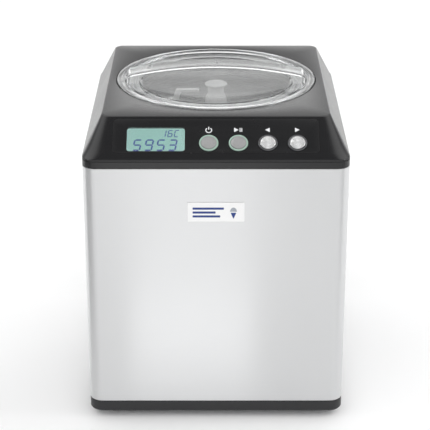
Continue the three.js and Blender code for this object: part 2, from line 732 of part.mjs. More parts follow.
function gearboxTray() {
  const at = gearCentre(2);
  return cut(gearboxPlate(31, GEARBOX_FLOOR, GEARBOX_TOP - 3 - GAP),
    gearboxPlate(28.5, GEARBOX_FLOOR + 2.6, GEARBOX_TOP), disc(4, 0, 400, at.x, at.y, 16));
}

function gearboxCover() {
  return cut(gearboxPlate(31, GEARBOX_TOP - 3, GEARBOX_TOP),
    disc(SHAFT_RADIUS + GAP, 0, 400, 0, AXIS_Y));
}

function motor() {
  const at = gearCentre(2);
  const top = GEARBOX_FLOOR - GAP;
  const body = turned([[0, top - 46], [6, top - 46], [6, top - 44], [25, top - 44], [28, top - 41],
    [28, top - 3], [30, top - 3], [30, top], [0, top]], at.x, at.y, 32);
  return cut(body, disc(3.2, top - 9, top + 5, at.x, at.y, 16));
}

// ---- cooling ----
const COMPRESSOR = { x: -58, y: 32, radius: 55, legReach: 76, footRadius: 68, bottom: 30 };
const GROMMET_ANGLES = [90, 210, 330].map((a) => a * Math.PI / 180);

// Welded shell with a rim, on three legs, with its terminal box in front.
function compressor() {
  const { x, y, radius, legReach, bottom } = COMPRESSOR;
  const shell = turned([[0, bottom], [28, bottom + 1], [47, bottom + 7], [radius, 50], [radius, 92],
    [radius + 3.5, 93], [radius + 3.5, 97], [radius - 1, 98], [radius - 1, 118],
    [48, 136], [30, 147], [0, 150]], x, y, 32);
  const leg = () => box(20, legReach, -13, 13, bottom, bottom + 4);
  const legs = GROMMET_ANGLES.map((a) => leg().rotateZ(a).translate(x, y, 0));
  const terminal = box(x - 22, x + 22, y - 63, y - 48, 66, 96);
  return join(shell, ...legs, terminal);
}

function grommet(angle) {
  const x = COMPRESSOR.x + COMPRESSOR.footRadius * Math.cos(angle);
  const y = COMPRESSOR.y + COMPRESSOR.footRadius * Math.sin(angle);
  const [low, high] = [PLATE_TOP + GAP, COMPRESSOR.bottom - GAP];
  return turned([[0, low], [9, low], [9, 14], [6.5, 18], [9, 22], [9, high], [0, high]], x, y, SMALL);
}

const CONDENSER = { back: 118, core: 126, tip: 136, front: -56, rear: 66, bottom: 28, top: 144 };
const FINS = 16;
const FIN_THICK = 2;

// Finned block: one outline of upright fins on a core.
function condenser() {
  const { back, core, tip, front, rear, bottom, top } = CONDENSER;
  const shape = new THREE.Shape();
  const pitch = (rear - front) / FINS;
  shape.moveTo(back, front);
  for (let i = 0; i < FINS; i++) {
    const y = front + pitch * i;
    shape.lineTo(tip, y);
    shape.lineTo(tip, y + FIN_THICK);
    shape.lineTo(core, y + FIN_THICK);
    shape.lineTo(core, y + pitch);
  }
  shape.lineTo(back, rear);
  return slab(shape, bottom, top);
}

const FAN = { x: 94, y: 5, z: 84, size: 112, depth: 20, bore: 51 };

// Turns an upright shape so that its height runs towards +X.
function sideways(geometry, x, y, z) {
  return geometry.rotateY(Math.PI / 2).translate(x, y, z);
}

function fanFrame() {
  const { x, y, z, size, depth, bore } = FAN;
  const plate = cut(slab(roundedShape(size, size, 6), 0, depth), disc(bore, -1, depth + 1, 0, 0, 36));
  const arms = [0, 1, 2].map((k) => box(10, bore + 1, -2.5, 2.5, 0, 2).rotateZ(2 * Math.PI * k / 3));
  return sideways(join(plate, disc(16, 0, 2.4), ...arms), x, y, z);
}

function fanRotor() {
  const { x, y, z } = FAN;
  const blades = [];
  const count = 7;
  for (let i = 0; i < count; i++) {
    const blade = new THREE.BoxGeometry(35, 1.6, 21, 1, 1, 1).rotateX(0.9).translate(31, 0, 11.2);
    blades.push(blade.rotateZ(2 * Math.PI * i / count));
  }
  return sideways(join(disc(17, 3.2, 18), ...blades), x, y, z);
}

function filterDrier() {
  return turned([[0, 40], [2.5, 40], [2.5, 48], [9, 56], [9, 108], [2.5, 116], [2.5, 124], [0, 124]],
    -112, -70, FINE);
}

function powerBoard() {
  const board = box(-20, -18.4, -145, -75, 90, 180);
  const parts = [box(-18.5, 4, -138, -108, 100, 124), box(-18.5, -6, -100, -84, 132, 160),
    box(-18.5, -2, -134, -116, 140, 158)];
  return join(board, ...parts);
}

const PINS = [[-7, -2], [7, -2], [0, 2]];

// Recessed three-pin mains inlet with its flange on the rear cover.
function inletSocket() {
  const body = slab(roundedShape(27, 20, 2.5), -19, GAP + 0.1);
  const flange = slab(roundedShape(32, 25, 3), GAP, 1.4);
  const shaped = new THREE.Shape();
  shaped.moveTo(-11.5, -7.5);
  shaped.lineTo(11.5, -7.5);
  shaped.lineTo(11.5, 3);
  shaped.lineTo(7.5, 7.5);
  shaped.lineTo(-7.5, 7.5);
  shaped.lineTo(-11.5, 3);
  const hollow = slab(shaped, -15, 5);
  const holes = PINS.map(([x, y]) => box(x - 1.4, x + 1.4, y - 2.6, y + 2.6, -30, 5));
  return facingBack(cut(join(body, flange), hollow, ...holes));
}

function inletPin(x, y) {
  return facingBack(box(x - 1, x + 1, y - 2.2, y + 2.2, -22, -3));
}

// Drawn facing +Z, turned to face +Y on the rear cover.
function facingBack(geometry) {
  return geometry.rotateX(-Math.PI / 2).translate(INLET.x, REAR_FACE, INLET.z);
}

// ---- assembly ----
piece('base_skirt', baseSkirt(), BLACK());
piece('base_plate', basePlate(), STEEL());
for (const [side, sx] of [['left', -1], ['right', 1]]) {
  piece(`foot_front_${side}`, foot(sx * FOOT_X, -FOOT_Y), RUBBER());
  piece(`foot_rear_${side}`, foot(sx * FOOT_X, FOOT_Y), RUBBER());
}
piece('steel_wrap', steelWrap(), STEEL());
piece('rear_cover', rearCover(), BLACK());
REAR_SCREWS.forEach(([x, z], i) => piece(`rear_screw_${i + 1}`, rearScrew(x, z), CHROME()));
piece('top_cover', topCover(), BLACK());
piece('front_badge', badge(), WHITE());

piece('control_fascia', fascia(), BLACK());
piece('display_window', displayWindow(), CLEAR());
piece('display_module', displayModule(), finish(0x9ad8cc, 0.4));
piece('control_board', controlBoard(), CIRCUIT());
['power', 'start', 'left', 'right'].forEach((name, i) => {
  piece(`${name}_button`, button(BUTTON_X[i]), CHROME());
  piece(`${name}_button_ring`, buttonRing(BUTTON_X[i]), i < 2 ? finish(0xbfe8cf, 0.3) : BLACK());
});

piece('lid', lid(), CLEAR());
piece('lid_handle', lidHandle(), CLEAR());
piece('bowl', bowl(), ALUMINIUM());
piece('mixing_paddle', paddle(), WHITE());
piece('cooling_well', coolingWell(), ALUMINIUM());
piece('evaporator_coil', sweep(new Helix(), COIL_PIPE, 20 * COIL_TURNS, 6), COPPER());
piece('insulation', insulation(), FOAM());

piece('drive_shaft', driveShaft(), STEEL());
piece('shaft_bush', shaftBush(), BRASS());
piece('output_gear', outputGear(), NYLON());
piece('middle_gear', middleGear(), NYLON());
piece('middle_gear_axle', middleAxle(), STEEL());
piece('motor_pinion', motorPinion(), BRASS());
piece('gearbox_tray', gearboxTray(), BLACK());
piece('gearbox_cover', gearboxCover(), BLACK());
piece('motor', motor(), ALUMINIUM());

piece('compressor', compressor(), finish(0x141414, 0.5));
GROMMET_ANGLES.forEach((a, i) => piece(`compressor_grommet_${i + 1}`, grommet(a), RUBBER()));
piece('condenser', condenser(), ALUMINIUM());
piece('fan_frame', fanFrame(), BLACK());
piece('fan_rotor', fanRotor(), BLACK());
piece('filter_drier', filterDrier(), COPPER());
piece('suction_pipe', suctionPipe(), COPPER());
piece('discharge_pipe', dischargePipe(), COPPER());
piece('power_board', powerBoard(), CIRCUIT());
piece('inlet_socket', inletSocket(), BLACK());
PINS.forEach(([x, y], i) => piece(`inlet_pin_${i + 1}`, inletPin(x, y), BRASS()));

export default maker;
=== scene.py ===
"""Finished surfaces and finishes of a table-top ice cream maker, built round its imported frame."""

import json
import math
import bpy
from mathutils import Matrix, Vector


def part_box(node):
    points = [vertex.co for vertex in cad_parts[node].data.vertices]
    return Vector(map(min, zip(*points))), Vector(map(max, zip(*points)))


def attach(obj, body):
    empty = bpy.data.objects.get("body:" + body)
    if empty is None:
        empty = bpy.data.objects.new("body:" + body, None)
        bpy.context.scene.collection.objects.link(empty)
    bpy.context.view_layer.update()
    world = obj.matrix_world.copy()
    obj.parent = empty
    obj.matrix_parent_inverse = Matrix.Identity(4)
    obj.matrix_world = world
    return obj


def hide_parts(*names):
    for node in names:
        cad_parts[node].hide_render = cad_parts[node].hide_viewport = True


bl_info = {
    "name": "Ice cream maker finish",
    "version": (1, 0, 0),
    "blender": (4, 5, 0),
    "location": "3D View > Sidebar > Ice cream maker",
    "description": "Builds the outer surfaces, the clear lid and the finishes of an ice cream maker",
    "category": "Object",
}

import bmesh
import bpy
import numpy as np
from mathutils import Matrix, Vector

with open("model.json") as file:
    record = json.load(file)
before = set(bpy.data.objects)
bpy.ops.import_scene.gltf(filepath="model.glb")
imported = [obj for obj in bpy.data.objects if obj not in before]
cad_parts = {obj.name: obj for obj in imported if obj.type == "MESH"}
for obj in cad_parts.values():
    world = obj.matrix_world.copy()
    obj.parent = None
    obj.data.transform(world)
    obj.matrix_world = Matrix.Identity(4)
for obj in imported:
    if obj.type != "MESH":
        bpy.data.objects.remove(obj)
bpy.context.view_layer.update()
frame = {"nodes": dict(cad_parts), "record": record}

MM = 0.001
TAU = 2 * math.pi


# ---- places taken from the frame ----


def span(node):
    """Lowest and highest corner of a CAD node, as arrays."""
    low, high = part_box(node)
    return np.array(low), np.array(high)


def node_points(node):
    """All of a CAD node's corners, as an (n, 3) array."""
    mesh = frame["nodes"][node].data
    points = np.empty(len(mesh.vertices) * 3, np.float32)
    mesh.vertices.foreach_get("co", points)
    return points.reshape(-1, 3).astype(float)


def panel_matrix():
    """Matrix of the sloping panel: X across, Y up the slope, Z out of it, origin on the film's middle."""
    mesh = frame["nodes"]["control_fascia"].data
    widest = max(mesh.polygons, key=lambda face: face.area)
    out = Vector(widest.normal) * (1 if widest.normal.z > 0 else -1)
    up = out.cross(Vector((1, 0, 0))).normalized()
    low, high = span("control_fascia")
    points = node_points("control_fascia")
    axes = np.array([(1, 0, 0), up, out])
    flat = points @ axes.T
    middle = (flat.min(0) + flat.max(0)) / 2
    middle[2] = flat[:, 2].max()
    matrix = Matrix(((1, up.x, out.x), (0, up.y, out.y), (0, up.z, out.z))).to_4x4()
    matrix.translation = Vector(middle @ axes)
    return matrix


PANEL = panel_matrix()
PANEL_BACK = np.array(PANEL.inverted())


def panel_seat(node):
    """Centre and half size of a CAD node across the panel, and its lowest and highest level out of it."""
    points = node_points(node) @ PANEL_BACK[:3, :3].T + PANEL_BACK[:3, 3]
    low, high = points.min(0), points.max(0)
    return (low[:2] + high[:2]) / 2, (high - low)[:2] / 2, low[2], high[2]


COVER_LOW, COVER_HIGH = span("top_cover")
WRAP_LOW, WRAP_HIGH = span("steel_wrap")
LID_LOW, LID_HIGH = span("lid")
BOWL_LOW, BOWL_HIGH = span("bowl")
AXIS = (LID_LOW[:2] + LID_HIGH[:2]) / 2
LID_RADIUS = (LID_HIGH[0] - LID_LOW[0]) / 2
PLATE_Z = COVER_HIGH[2]
HALF_WIDTH = COVER_HIGH[0]
POST_TOP = BOWL_HIGH[2] - 44.2 * MM
BUTTONS = ("power", "start", "left", "right")
HOLE_GAP = 0.3 * MM
SLOT_PITCH = 9 * MM


# ---- settings ----


def length(name, about, millimetres):
    return bpy.props.FloatProperty(name=name, description=about, default=millimetres * MM, unit="LENGTH")


def colour(name, about, *rgb):
    return bpy.props.FloatVectorProperty(name=name, description=about, default=rgb, subtype="COLOR")


class MakerSettings(bpy.types.PropertyGroup):
    """Sizes and colours of the ice cream maker's finish."""

    corner: length("Case corner", "Radius of the upright corners", 15)
    slope_rise: length("Slope rise", "Height of the sloping part of the top", 33.5)
    front_run: length("Front slope", "How far the panel leans back", 48.6)
    side_run: length("Side slope", "How far each side leans in", 19.1)
    plate_corner: length("Top corner", "Radius of the flat top's corners", 10)
    hip: length("Hip corner", "Radius of the slope's lower corners", 24)
    strap_rise: length("Strap rise", "How far the lid's strap arches", 12)
    black: colour("Black moulding", "Colour of the top and base", 0.012, 0.012, 0.013)
    steel: colour("Steel", "Tint of the brushed case", 0.66, 0.665, 0.67)
    white: colour("White moulding", "Colour of the paddle", 0.93, 0.93, 0.92)
    display: colour("Display", "Colour of the lit display", 0.42, 0.76, 0.69)
    digits: colour("Digits", "Colour of the display's digits", 0.035, 0.11, 0.46)
    badge: colour("Badge print", "Colour of the badge's pictogram", 0.016, 0.045, 0.22)
    time_shown: bpy.props.StringProperty(name="Time", description="Digits on the display", default="5953")


def settings():
    return bpy.context.scene.ice_cream_maker


# ---- finishes ----


class Link:
    """A shader socket that arithmetic works on; each operator adds one Math node."""

    def __init__(self, owner, socket):
        self.owner = owner
        self.socket = socket

    def _math(self, operation, *values):
        return self.owner.node("ShaderNodeMath", {"operation": operation}, dict(enumerate(values)))

    def __add__(self, other):
        return self._math("ADD", self, other)

    def __radd__(self, other):
        return self._math("ADD", other, self)

    def __mul__(self, other):
        return self._math("MULTIPLY", self, other)

    def __rmul__(self, other):
        return self._math("MULTIPLY", other, self)

    def sine(self):
        return self._math("SINE", self)

    def root(self):
        return self._math("SQRT", self)


class Nodes:
    """A node tree, and the one way in which nodes are added to it."""

    def __init__(self, tree):
        self.tree = tree

    def plug(self, socket, value):
        """Joins a Link to a socket, or leaves a value on it."""
        if isinstance(value, Link):
            self.tree.links.new(value.socket, socket)
        elif socket.type == "RGBA" and len(value) == 3:
            socket.default_value = (*value, 1)
        else:
            socket.default_value = value

    def node(self, kind, options=None, inputs=None, output=0):
        """Adds a node, sets its options or a ramp's stops, then its sockets, and returns one output."""
        made = self.tree.nodes.new(kind)
        for key, value in (options or {}).items():
            if key == "stops":
                self.set_stops(made.color_ramp, value)
            else:
                setattr(made, key, value)
        for key, value in (inputs or {}).items():
            self.plug(made.inputs[key], value)
        return Link(self, made.outputs[output])

    def set_stops(self, ramp, stops):
        """Makes a ramp an eased run of grey through pairs of place and level."""
        ramp.interpolation = "EASE"
        while len(ramp.elements) < len(stops):
            ramp.elements.new(1.0)
        for element, (place, level) in zip(ramp.elements, stops):
            element.position = place
            element.color = (level, level, level, 1)


class Finish(Nodes):
    """A procedural material: one Principled shader, and the nodes that vary what feeds it."""

    def __init__(self, name, **sockets):
        self.material = bpy.data.materials.new(name)
        self.material.use_nodes = True
        super().__init__(self.material.node_tree)
        self.shader = self.tree.nodes["Principled BSDF"]
        self.place = None
        self.set(**sockets)

    def set(self, **sockets):
        """Sets the shader's sockets by name, with _ for a space."""
        for name, value in sockets.items():
            self.plug(self.shader.inputs[name.replace("_", " ")], value)
        return self

    def where(self):
        """Position on the object, in metres."""
        if self.place is None:
            self.place = self.node("ShaderNodeTexCoord", output=3)
        return self.place

    def shifted(self, offset=(0, 0, 0), scale=(1, 1, 1)):
        """Position on the object, moved and stretched by a Mapping node."""
        sizes = {"Vector": self.where(), "Location": offset, "Scale": scale}
        return self.node("ShaderNodeMapping", None, sizes)

    def grain(self, scale, stretch=(1, 1, 1), detail=3.0, rough=0.55):
        """Noise from 0 to 1; stretch squeezes it along X, Y or Z."""
        sizes = {"Vector": self.shifted(scale=stretch), "Scale": scale, "Detail": detail, "Roughness": rough}
        return self.node("ShaderNodeTexNoise", None, sizes)

    def ramp(self, factor, low, high, start=0.0, end=1.0):
        """Maps factor from start..end to low..high, held at the ends."""
        sizes = {"Value": factor, "From Min": start, "From Max": end, "To Min": low, "To Max": high}
        return self.node("ShaderNodeMapRange", None, sizes)

    def tint(self, factor, first, second):
        """Colour between two colours."""
        return self.node("ShaderNodeMix", {"data_type": "RGBA"}, {0: factor, 6: first, 7: second}, output=2)

    def bump(self, height, strength=0.2, distance=0.1 * MM):
        """Feeds a height, in shares of distance, to the shader's normal."""
        sizes = {"Height": height, "Strength": strength, "Distance": distance}
        return self.set(Normal=self.node("ShaderNodeBump", None, sizes))

    def across(self, centre):
        """Distance from the upright line through centre."""
        moved = self.shifted(offset=(-centre[0], -centre[1], 0))
        x, y = (self.node("ShaderNodeSeparateXYZ", None, {0: moved}, output=i) for i in (0, 1))
        return (x * x + y * y).root()


def shade(color, factor):
    return tuple(c * factor for c in color)


def moulded(name, color, roughness, texture=0.18, size=900):
    """Injection-moulded plastic: a fine spark-eroded texture, slow sheen changes and faint handling marks."""
    f = Finish(name, Specular_IOR_Level=0.4)
    fine = f.grain(size, detail=2)
    slow = f.grain(14, detail=3)
    scuff = f.ramp(f.grain(60, stretch=(1, 1, 0.3), detail=4), 0, 1, 0.55, 0.75)
    f.set(Base_Color=f.tint(slow, shade(color, 0.9), shade(color, 1.12)))
    f.set(Roughness=f.ramp(slow, roughness - 0.03, roughness + 0.03) + scuff * 0.03)
    return f.bump(fine, texture, 0.03 * MM)


def brushed_sheet(name, color):
    """Stainless sheet with a fine grain running level round the case."""
    f = Finish(name, Metallic=1.0, Anisotropic=0.85, Anisotropic_Rotation=0.25)
    lines = f.grain(60, stretch=(0.25, 0.25, 60), detail=4, rough=0.7)
    fine = f.grain(160, stretch=(0.2, 0.2, 90), detail=2, rough=0.6)
    slow = f.grain(5, detail=2)
    grain = lines * 0.6 + fine * 0.4
    f.set(Base_Color=f.tint(grain, shade(color, 0.955), shade(color, 1.03)))
    f.set(Roughness=f.ramp(grain, 0.325, 0.4) + f.ramp(slow, -0.015, 0.015))
    return f.bump(grain, 0.12, 0.05 * MM)


def spun_metal(name, color, centre):
    """Metal turned on a lathe: fine and coarse rings round an upright axis, with slow changes of sheen."""
    f = Finish(name, Metallic=1.0)
    reach = f.across(centre)
    wobble = f.grain(40, detail=2)
    ring = (reach * 3000 + wobble * 2.0).sine() * 0.5 + 0.5
    coarse = (reach * 690 + wobble).sine() * 0.5 + 0.5
    turned_lines = ring * 0.6 + coarse * 0.4
    f.set(Base_Color=f.tint(turned_lines, shade(color, 0.93), shade(color, 1.03)))
    f.set(Roughness=f.ramp(wobble, 0.21, 0.29))
    return f.bump(turned_lines, 0.12, 0.08 * MM)


def bowl_metal(name, color):
    """Drawn aluminium with level polishing lines round its wall."""
    f = Finish(name, Metallic=1.0)
    lines = f.grain(30, stretch=(0.4, 0.4, 50), detail=4, rough=0.65)
    cloud = f.grain(18, detail=3)
    f.set(Base_Color=f.tint(cloud, shade(color, 0.94), shade(color, 1.02)))
    f.set(Roughness=f.ramp(lines, 0.22, 0.33))
    return f.bump(lines, 0.16, 0.08 * MM)


def clear_plastic(name, clear=0.97):
    """Clear moulded plastic, a little milky, with a faint flow wave and polish marks."""
    f = Finish(name, Base_Color=(0.965, 0.975, 0.975), Transmission_Weight=clear, IOR=1.49)
    wave = f.grain(22, detail=2)
    marks = f.grain(260, detail=2)
    f.set(Roughness=f.ramp(marks, 0.015, 0.06))
    return f.bump(wave * 0.85 + marks * 0.15, 0.1, 0.25 * MM)


def rubber(name):
    """Matt black rubber with a powdery bloom."""
    f = Finish(name)
    bloom = f.grain(130, detail=4)
    f.set(Base_Color=f.tint(bloom, (0.016, 0.016, 0.016), (0.035, 0.035, 0.034)))
    f.set(Roughness=f.ramp(bloom, 0.72, 0.92))
    return f.bump(f.grain(700, detail=3), 0.3, 0.06 * MM)


def printed(name, color, roughness=0.45):
    """Screen-printed ink with a faint mesh pattern."""
    f = Finish(name)
    speck = f.grain(2400, detail=1)
    f.set(Base_Color=f.tint(speck, shade(color, 0.94), color))
    f.set(Roughness=f.ramp(speck, roughness, roughness + 0.1))
    return f.bump(speck, 0.1, 0.02 * MM)


def lit(name, color, glow):
    """Translucent plastic lit from behind, a little uneven."""
    f = Finish(name, Emission_Strength=glow)
    cloud = f.grain(35, detail=2)
    tone = f.tint(cloud, shade(color, 0.95), color)
    f.set(Base_Color=tone, Emission_Color=tone, Roughness=f.ramp(f.grain(400), 0.3, 0.38))
    return f.bump(f.grain(900, detail=1), 0.05, 0.02 * MM)


def bare_metal(name, color, roughness, size=90):
    """Drawn or cast metal with uneven oxide and a slight tooth."""
    f = Finish(name, Metallic=1.0)
    cloud = f.grain(size, detail=5)
    f.set(Base_Color=f.tint(cloud, shade(color, 0.75), color))
    f.set(Roughness=f.ramp(cloud, roughness, roughness + 0.2))
    return f.bump(cloud, 0.2, 0.1 * MM)


def painted(name, color):
    """Stove enamel with orange peel."""
    f = Finish(name, Coat_Roughness=0.15, Coat_Weight=0.4)
    peel = f.grain(330, detail=1)
    f.set(Base_Color=f.tint(f.grain(20), shade(color, 0.85), color), Roughness=0.3)
    return f.bump(peel, 0.25, 0.15 * MM)


def foamed(name):
    """Rigid foam: amber skin with small open cells."""
    f = Finish(name)
    cells = f.node("ShaderNodeTexVoronoi", None, {"Vector": f.where(), "Scale": 520.0})
    f.set(Base_Color=f.tint(f.grain(30), (0.62, 0.47, 0.2), (0.78, 0.66, 0.36)), Roughness=0.9)
    return f.bump(cells, 0.6, 0.5 * MM)


def circuit(name):
    """Green solder mask with faint copper tracks under it."""
    f = Finish(name)
    tracks = f.node("ShaderNodeTexBrick", {"offset": 0.5}, {"Vector": f.where(), "Scale": 260.0})
    f.set(Base_Color=f.tint(f.grain(220, stretch=(1, 0.2, 1)), (0.012, 0.1, 0.045), (0.03, 0.2, 0.09)))
    f.set(Roughness=0.35)
    return f.bump(tracks, 0.1, 0.05 * MM)


# ---- shapes ----


def rounded(points, radii, steps=6, loop=True):
    """Outline with arcs at its corners. At each corner the arc's centre lies on the bisector, and the arc
    is the turn from one tangent point to the other, shared out evenly. A radius of 0 keeps the corner."""
    p = np.asarray(points, float)
    r = np.broadcast_to(np.asarray(radii, float), len(p))[:, None]
    back, ahead = np.roll(p, 1, 0) - p, np.roll(p, -1, 0) - p
    back /= np.linalg.norm(back, axis=1, keepdims=True)
    ahead /= np.linalg.norm(ahead, axis=1, keepdims=True)
    half = np.arccos(np.clip((back * ahead).sum(1, keepdims=True), -1, 1)) / 2
    middle = back + ahead
    middle /= np.maximum(np.linalg.norm(middle, axis=1, keepdims=True), 1e-12)
    reach = r / np.tan(half)
    centre = p + middle * r / np.sin(half)
    safe = np.where(r > 0, r, 1)
    first = (p + back * reach - centre) / safe
    last = (p + ahead * reach - centre) / safe
    turn = math.pi - 2 * half
    t = np.linspace(0, 1, steps + 1)[None, :, None]
    whole = np.maximum(np.sin(turn), 1e-9)[:, None]
    a = np.sin((1 - t) * turn[:, None]) / whole
    b = np.sin(t * turn[:, None]) / whole
    arcs = centre[:, None] + r[:, None] * (a * first[:, None] + b * last[:, None])
    arcs = np.where(r[:, None] > 0, arcs, p[:, None])
    if not loop:
        arcs[0], arcs[-1] = p[0], p[-1]
    return arcs.reshape(-1, 2)


def drawn(rows, steps, loop=True):
    """Rounded outline from rows of two places and a corner radius, all in millimetres."""
    table = np.array(rows, float) * MM
    return rounded(table[:, :2], table[:, 2], steps, loop)


def rect_rings(rows, corner_steps=10, side_steps=26):
    """Grid of rings round rounded rectangles. Each row is half width, front Y, rear Y, corner radius and
    height. A ring goes round corner by corner: an arc, then the straight to the next arc."""
    half, front, rear, radius, z = (np.asarray(rows, float).T[:, :, None, None])
    sign_x = np.array([1, 1, -1, -1])[None, :, None]
    rear_side = np.array([0, 1, 1, 0])[None, :, None]
    cx = sign_x * (half - radius)
    cy = np.where(rear_side > 0, rear - radius, front + radius)
    start = np.array([-0.25, 0, 0.25, 0.5])[None, :, None] * TAU
    angle = start + np.linspace(0, TAU / 4, corner_steps + 1)[None, None]
    arc = np.stack([cx + radius * np.cos(angle), cy + radius * np.sin(angle)], -1)
    t = (np.arange(1, side_steps) / side_steps)[None, None, :, None]
    straight = arc[:, :, -1:] * (1 - t) + np.roll(arc, -1, 1)[:, :, :1] * t
    flat = np.concatenate([arc, straight], 2).reshape(len(rows), -1, 2)
    height = np.broadcast_to(z[:, 0], flat.shape[:2])
    return np.concatenate([flat, height[..., None]], -1)


def circle_rings(like, centre, rows):
    """Grid of circles whose points stand at the same bearings from centre as the points of a ring.
    Each row is radius and height."""
    away = like[:, :2] - centre
    bearing = np.arctan2(away[:, 1], away[:, 0])
    radius, z = np.asarray(rows, float).T[:, :, None]
    x = centre[0] + radius * np.cos(bearing)
    y = centre[1] + radius * np.sin(bearing)
    return np.stack([x, y, np.broadcast_to(z, x.shape)], -1)


def skin(points, loop_rows=False, loop_columns=True, caps=False):
    """Vertices and faces of a grid of points: a four-sided face between each two rows and two columns,
    and, with caps, one flat face on the first row and one on the last."""
    rows, columns = points.shape[:2]
    i = np.arange(rows if loop_rows else rows - 1)[:, None]
    j = np.arange(columns if loop_columns else columns - 1)[None]
    k, n = (i + 1) % rows, (j + 1) % columns
    quads = np.stack([i * columns + j, i * columns + n, k * columns + n, k * columns + j], -1)
    faces = quads.reshape(-1, 4).tolist()
    if caps:
        last = (rows - 1) * columns
        faces.append(list(range(columns))[::-1])
        faces.append([last + j for j in range(columns)])
    return points.reshape(-1, 3), faces


def revolved(profile, centre=(0, 0), columns=160, closed=True):
    """Body turned about the upright line through centre: each profile point, a radius and a height,
    goes round a circle. An open profile starts and ends on the axis."""
    radius, z = np.asarray(profile, float).T[:, :, None]
    angle = np.arange(columns)[None] / columns * TAU
    x, y = centre[0] + radius * np.cos(angle), centre[1] + radius * np.sin(angle)
    grid = np.stack([x, y, np.broadcast_to(z, x.shape)], -1)
    return skin(grid, loop_rows=closed)


def prism(outline, low, high, edge=0.0, steps=3):
    """Upright body over a closed outline between two heights. The outline is drawn in by the edge
    radius at both ends along quarter arcs, each point moving along its corner's bisector."""
    p = np.asarray(outline, float)
    t = np.linspace(0, 1, steps + 1) * TAU / 4 if edge else np.zeros(1)
    inset = edge * np.concatenate([1 - np.sin(t), (1 - np.sin(t))[::-1]])
    height = np.concatenate([low + edge * (1 - np.cos(t)), (high - edge * (1 - np.cos(t)))[::-1]])
    ahead = np.roll(p, -1, 0) - np.roll(p, 1, 0)
    ahead /= np.maximum(np.linalg.norm(ahead, axis=1, keepdims=True), 1e-12)
    inward = np.stack([-ahead[:, 1], ahead[:, 0]], -1)
    flat = p[None] + inset[:, None, None] * inward[None]
    z = np.broadcast_to(height[:, None, None], (*flat.shape[:2], 1))
    return skin(np.concatenate([flat, z], -1), caps=True)


def box_outline(half_x, half_y, radius, centre=(0, 0), steps=6):
    """Counter-clockwise rounded rectangle."""
    corners = np.array([(-1, -1), (1, -1), (1, 1), (-1, 1)]) * (half_x, half_y)
    return rounded(corners, radius, steps) + centre


def disc_outline(radius, centre=(0, 0), columns=64):
    angle = np.arange(columns) / columns * TAU
    return np.stack([np.cos(angle), np.sin(angle)], -1) * radius + centre


def placed(part, matrix):
    """A part's vertices taken through a matrix."""
    m = np.array(matrix)
    return part[0] @ m[:3, :3].T + m[:3, 3], part[1]


def merged(parts):
    """Several parts as one list of vertices and one of faces."""
    counts = np.cumsum([0] + [len(vertices) for vertices, _ in parts])
    faces = [[int(i + shift) for i in face] for (_, fs), shift in zip(parts, counts) for face in fs]
    return np.concatenate([vertices for vertices, _ in parts]), faces


def build_mesh(name, parts):
    """Mesh of the parts, with doubles joined and faces pointing out."""
    vertices, faces = merged(parts)
    mesh = bpy.data.meshes.new(name)
    mesh.from_pydata(vertices, [], faces)
    work = bmesh.new()
    work.from_mesh(mesh)
    bmesh.ops.remove_doubles(work, verts=work.verts, dist=1e-6)
    bmesh.ops.recalc_face_normals(work, faces=work.faces)
    work.to_mesh(mesh)
    work.free()
    return mesh


def linked(name, data):
    """New object of some data, in the scene."""
    thing = bpy.data.objects.new(name, data)
    bpy.context.scene.collection.objects.link(thing)
    return thing


def add_piece(name, shape, finish, replaces=(), body="root"):
    """Shows a mesh, or the parts of one, as a piece with its finish, on a body and standing for CAD nodes."""
    mesh = build_mesh(name, shape) if isinstance(shape, list) else shape
    mesh.materials.clear()
    mesh.materials.append(finish.material)
    mesh.shade_smooth()
    mesh.set_sharp_from_angle(angle=math.radians(32))
    piece = linked(name, mesh)
    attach(piece, body)
    if replaces:
        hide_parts(*replaces)


def carved(mesh, cutters):
    """The mesh with every cutter taken out of it."""
    body = linked("carved_body", mesh)
    tool = linked("carving_tool", build_mesh("carving_tool", cutters))
    modifier = body.modifiers.new("carve", "BOOLEAN")
    modifier.operation = "DIFFERENCE"
    modifier.solver = "EXACT"
    modifier.use_self = True
    modifier.object = tool
    ready = body.evaluated_get(bpy.context.evaluated_depsgraph_get())
    result = bpy.data.meshes.new_from_object(ready)
    for thing in (body, tool):
        bpy.data.objects.remove(thing)
    return result


def flat_mesh(name, outlines, thickness, edge=0.0):
    """Flat plate from Z 0 down to its thickness: the first outline is its rim, the others are holes."""
    curve = bpy.data.curves.new(name, "CURVE")
    curve.dimensions = "2D"
    curve.fill_mode = "BOTH"
    curve.extrude = thickness / 2 - edge
    curve.bevel_depth = edge
    curve.bevel_resolution = 2
    curve.offset = -edge
    for outline in outlines:
        spline = curve.splines.new("POLY")
        spline.points.add(len(outline) - 1)
        flat = np.zeros((len(outline), 4), np.float32)
        flat[:, :2] = outline
        flat[:, 3] = 1
        spline.points.foreach_set("co", flat.ravel())
        spline.use_cyclic_u = True
    plate = linked(name, curve)
    ready = plate.evaluated_get(bpy.context.evaluated_depsgraph_get())
    mesh = bpy.data.meshes.new_from_object(ready)
    bpy.data.objects.remove(plate)
    mesh.transform(Matrix.Translation((0, 0, -thickness / 2)))
    work = bmesh.new()
    work.from_mesh(mesh)
    bmesh.ops.remove_doubles(work, verts=work.verts, dist=1e-7)
    work.to_mesh(mesh)
    work.free()
    return mesh


def on_panel(mesh):
    """Takes a flat mesh onto the sloping panel."""
    mesh.transform(PANEL)
    return mesh


# ---- case ----


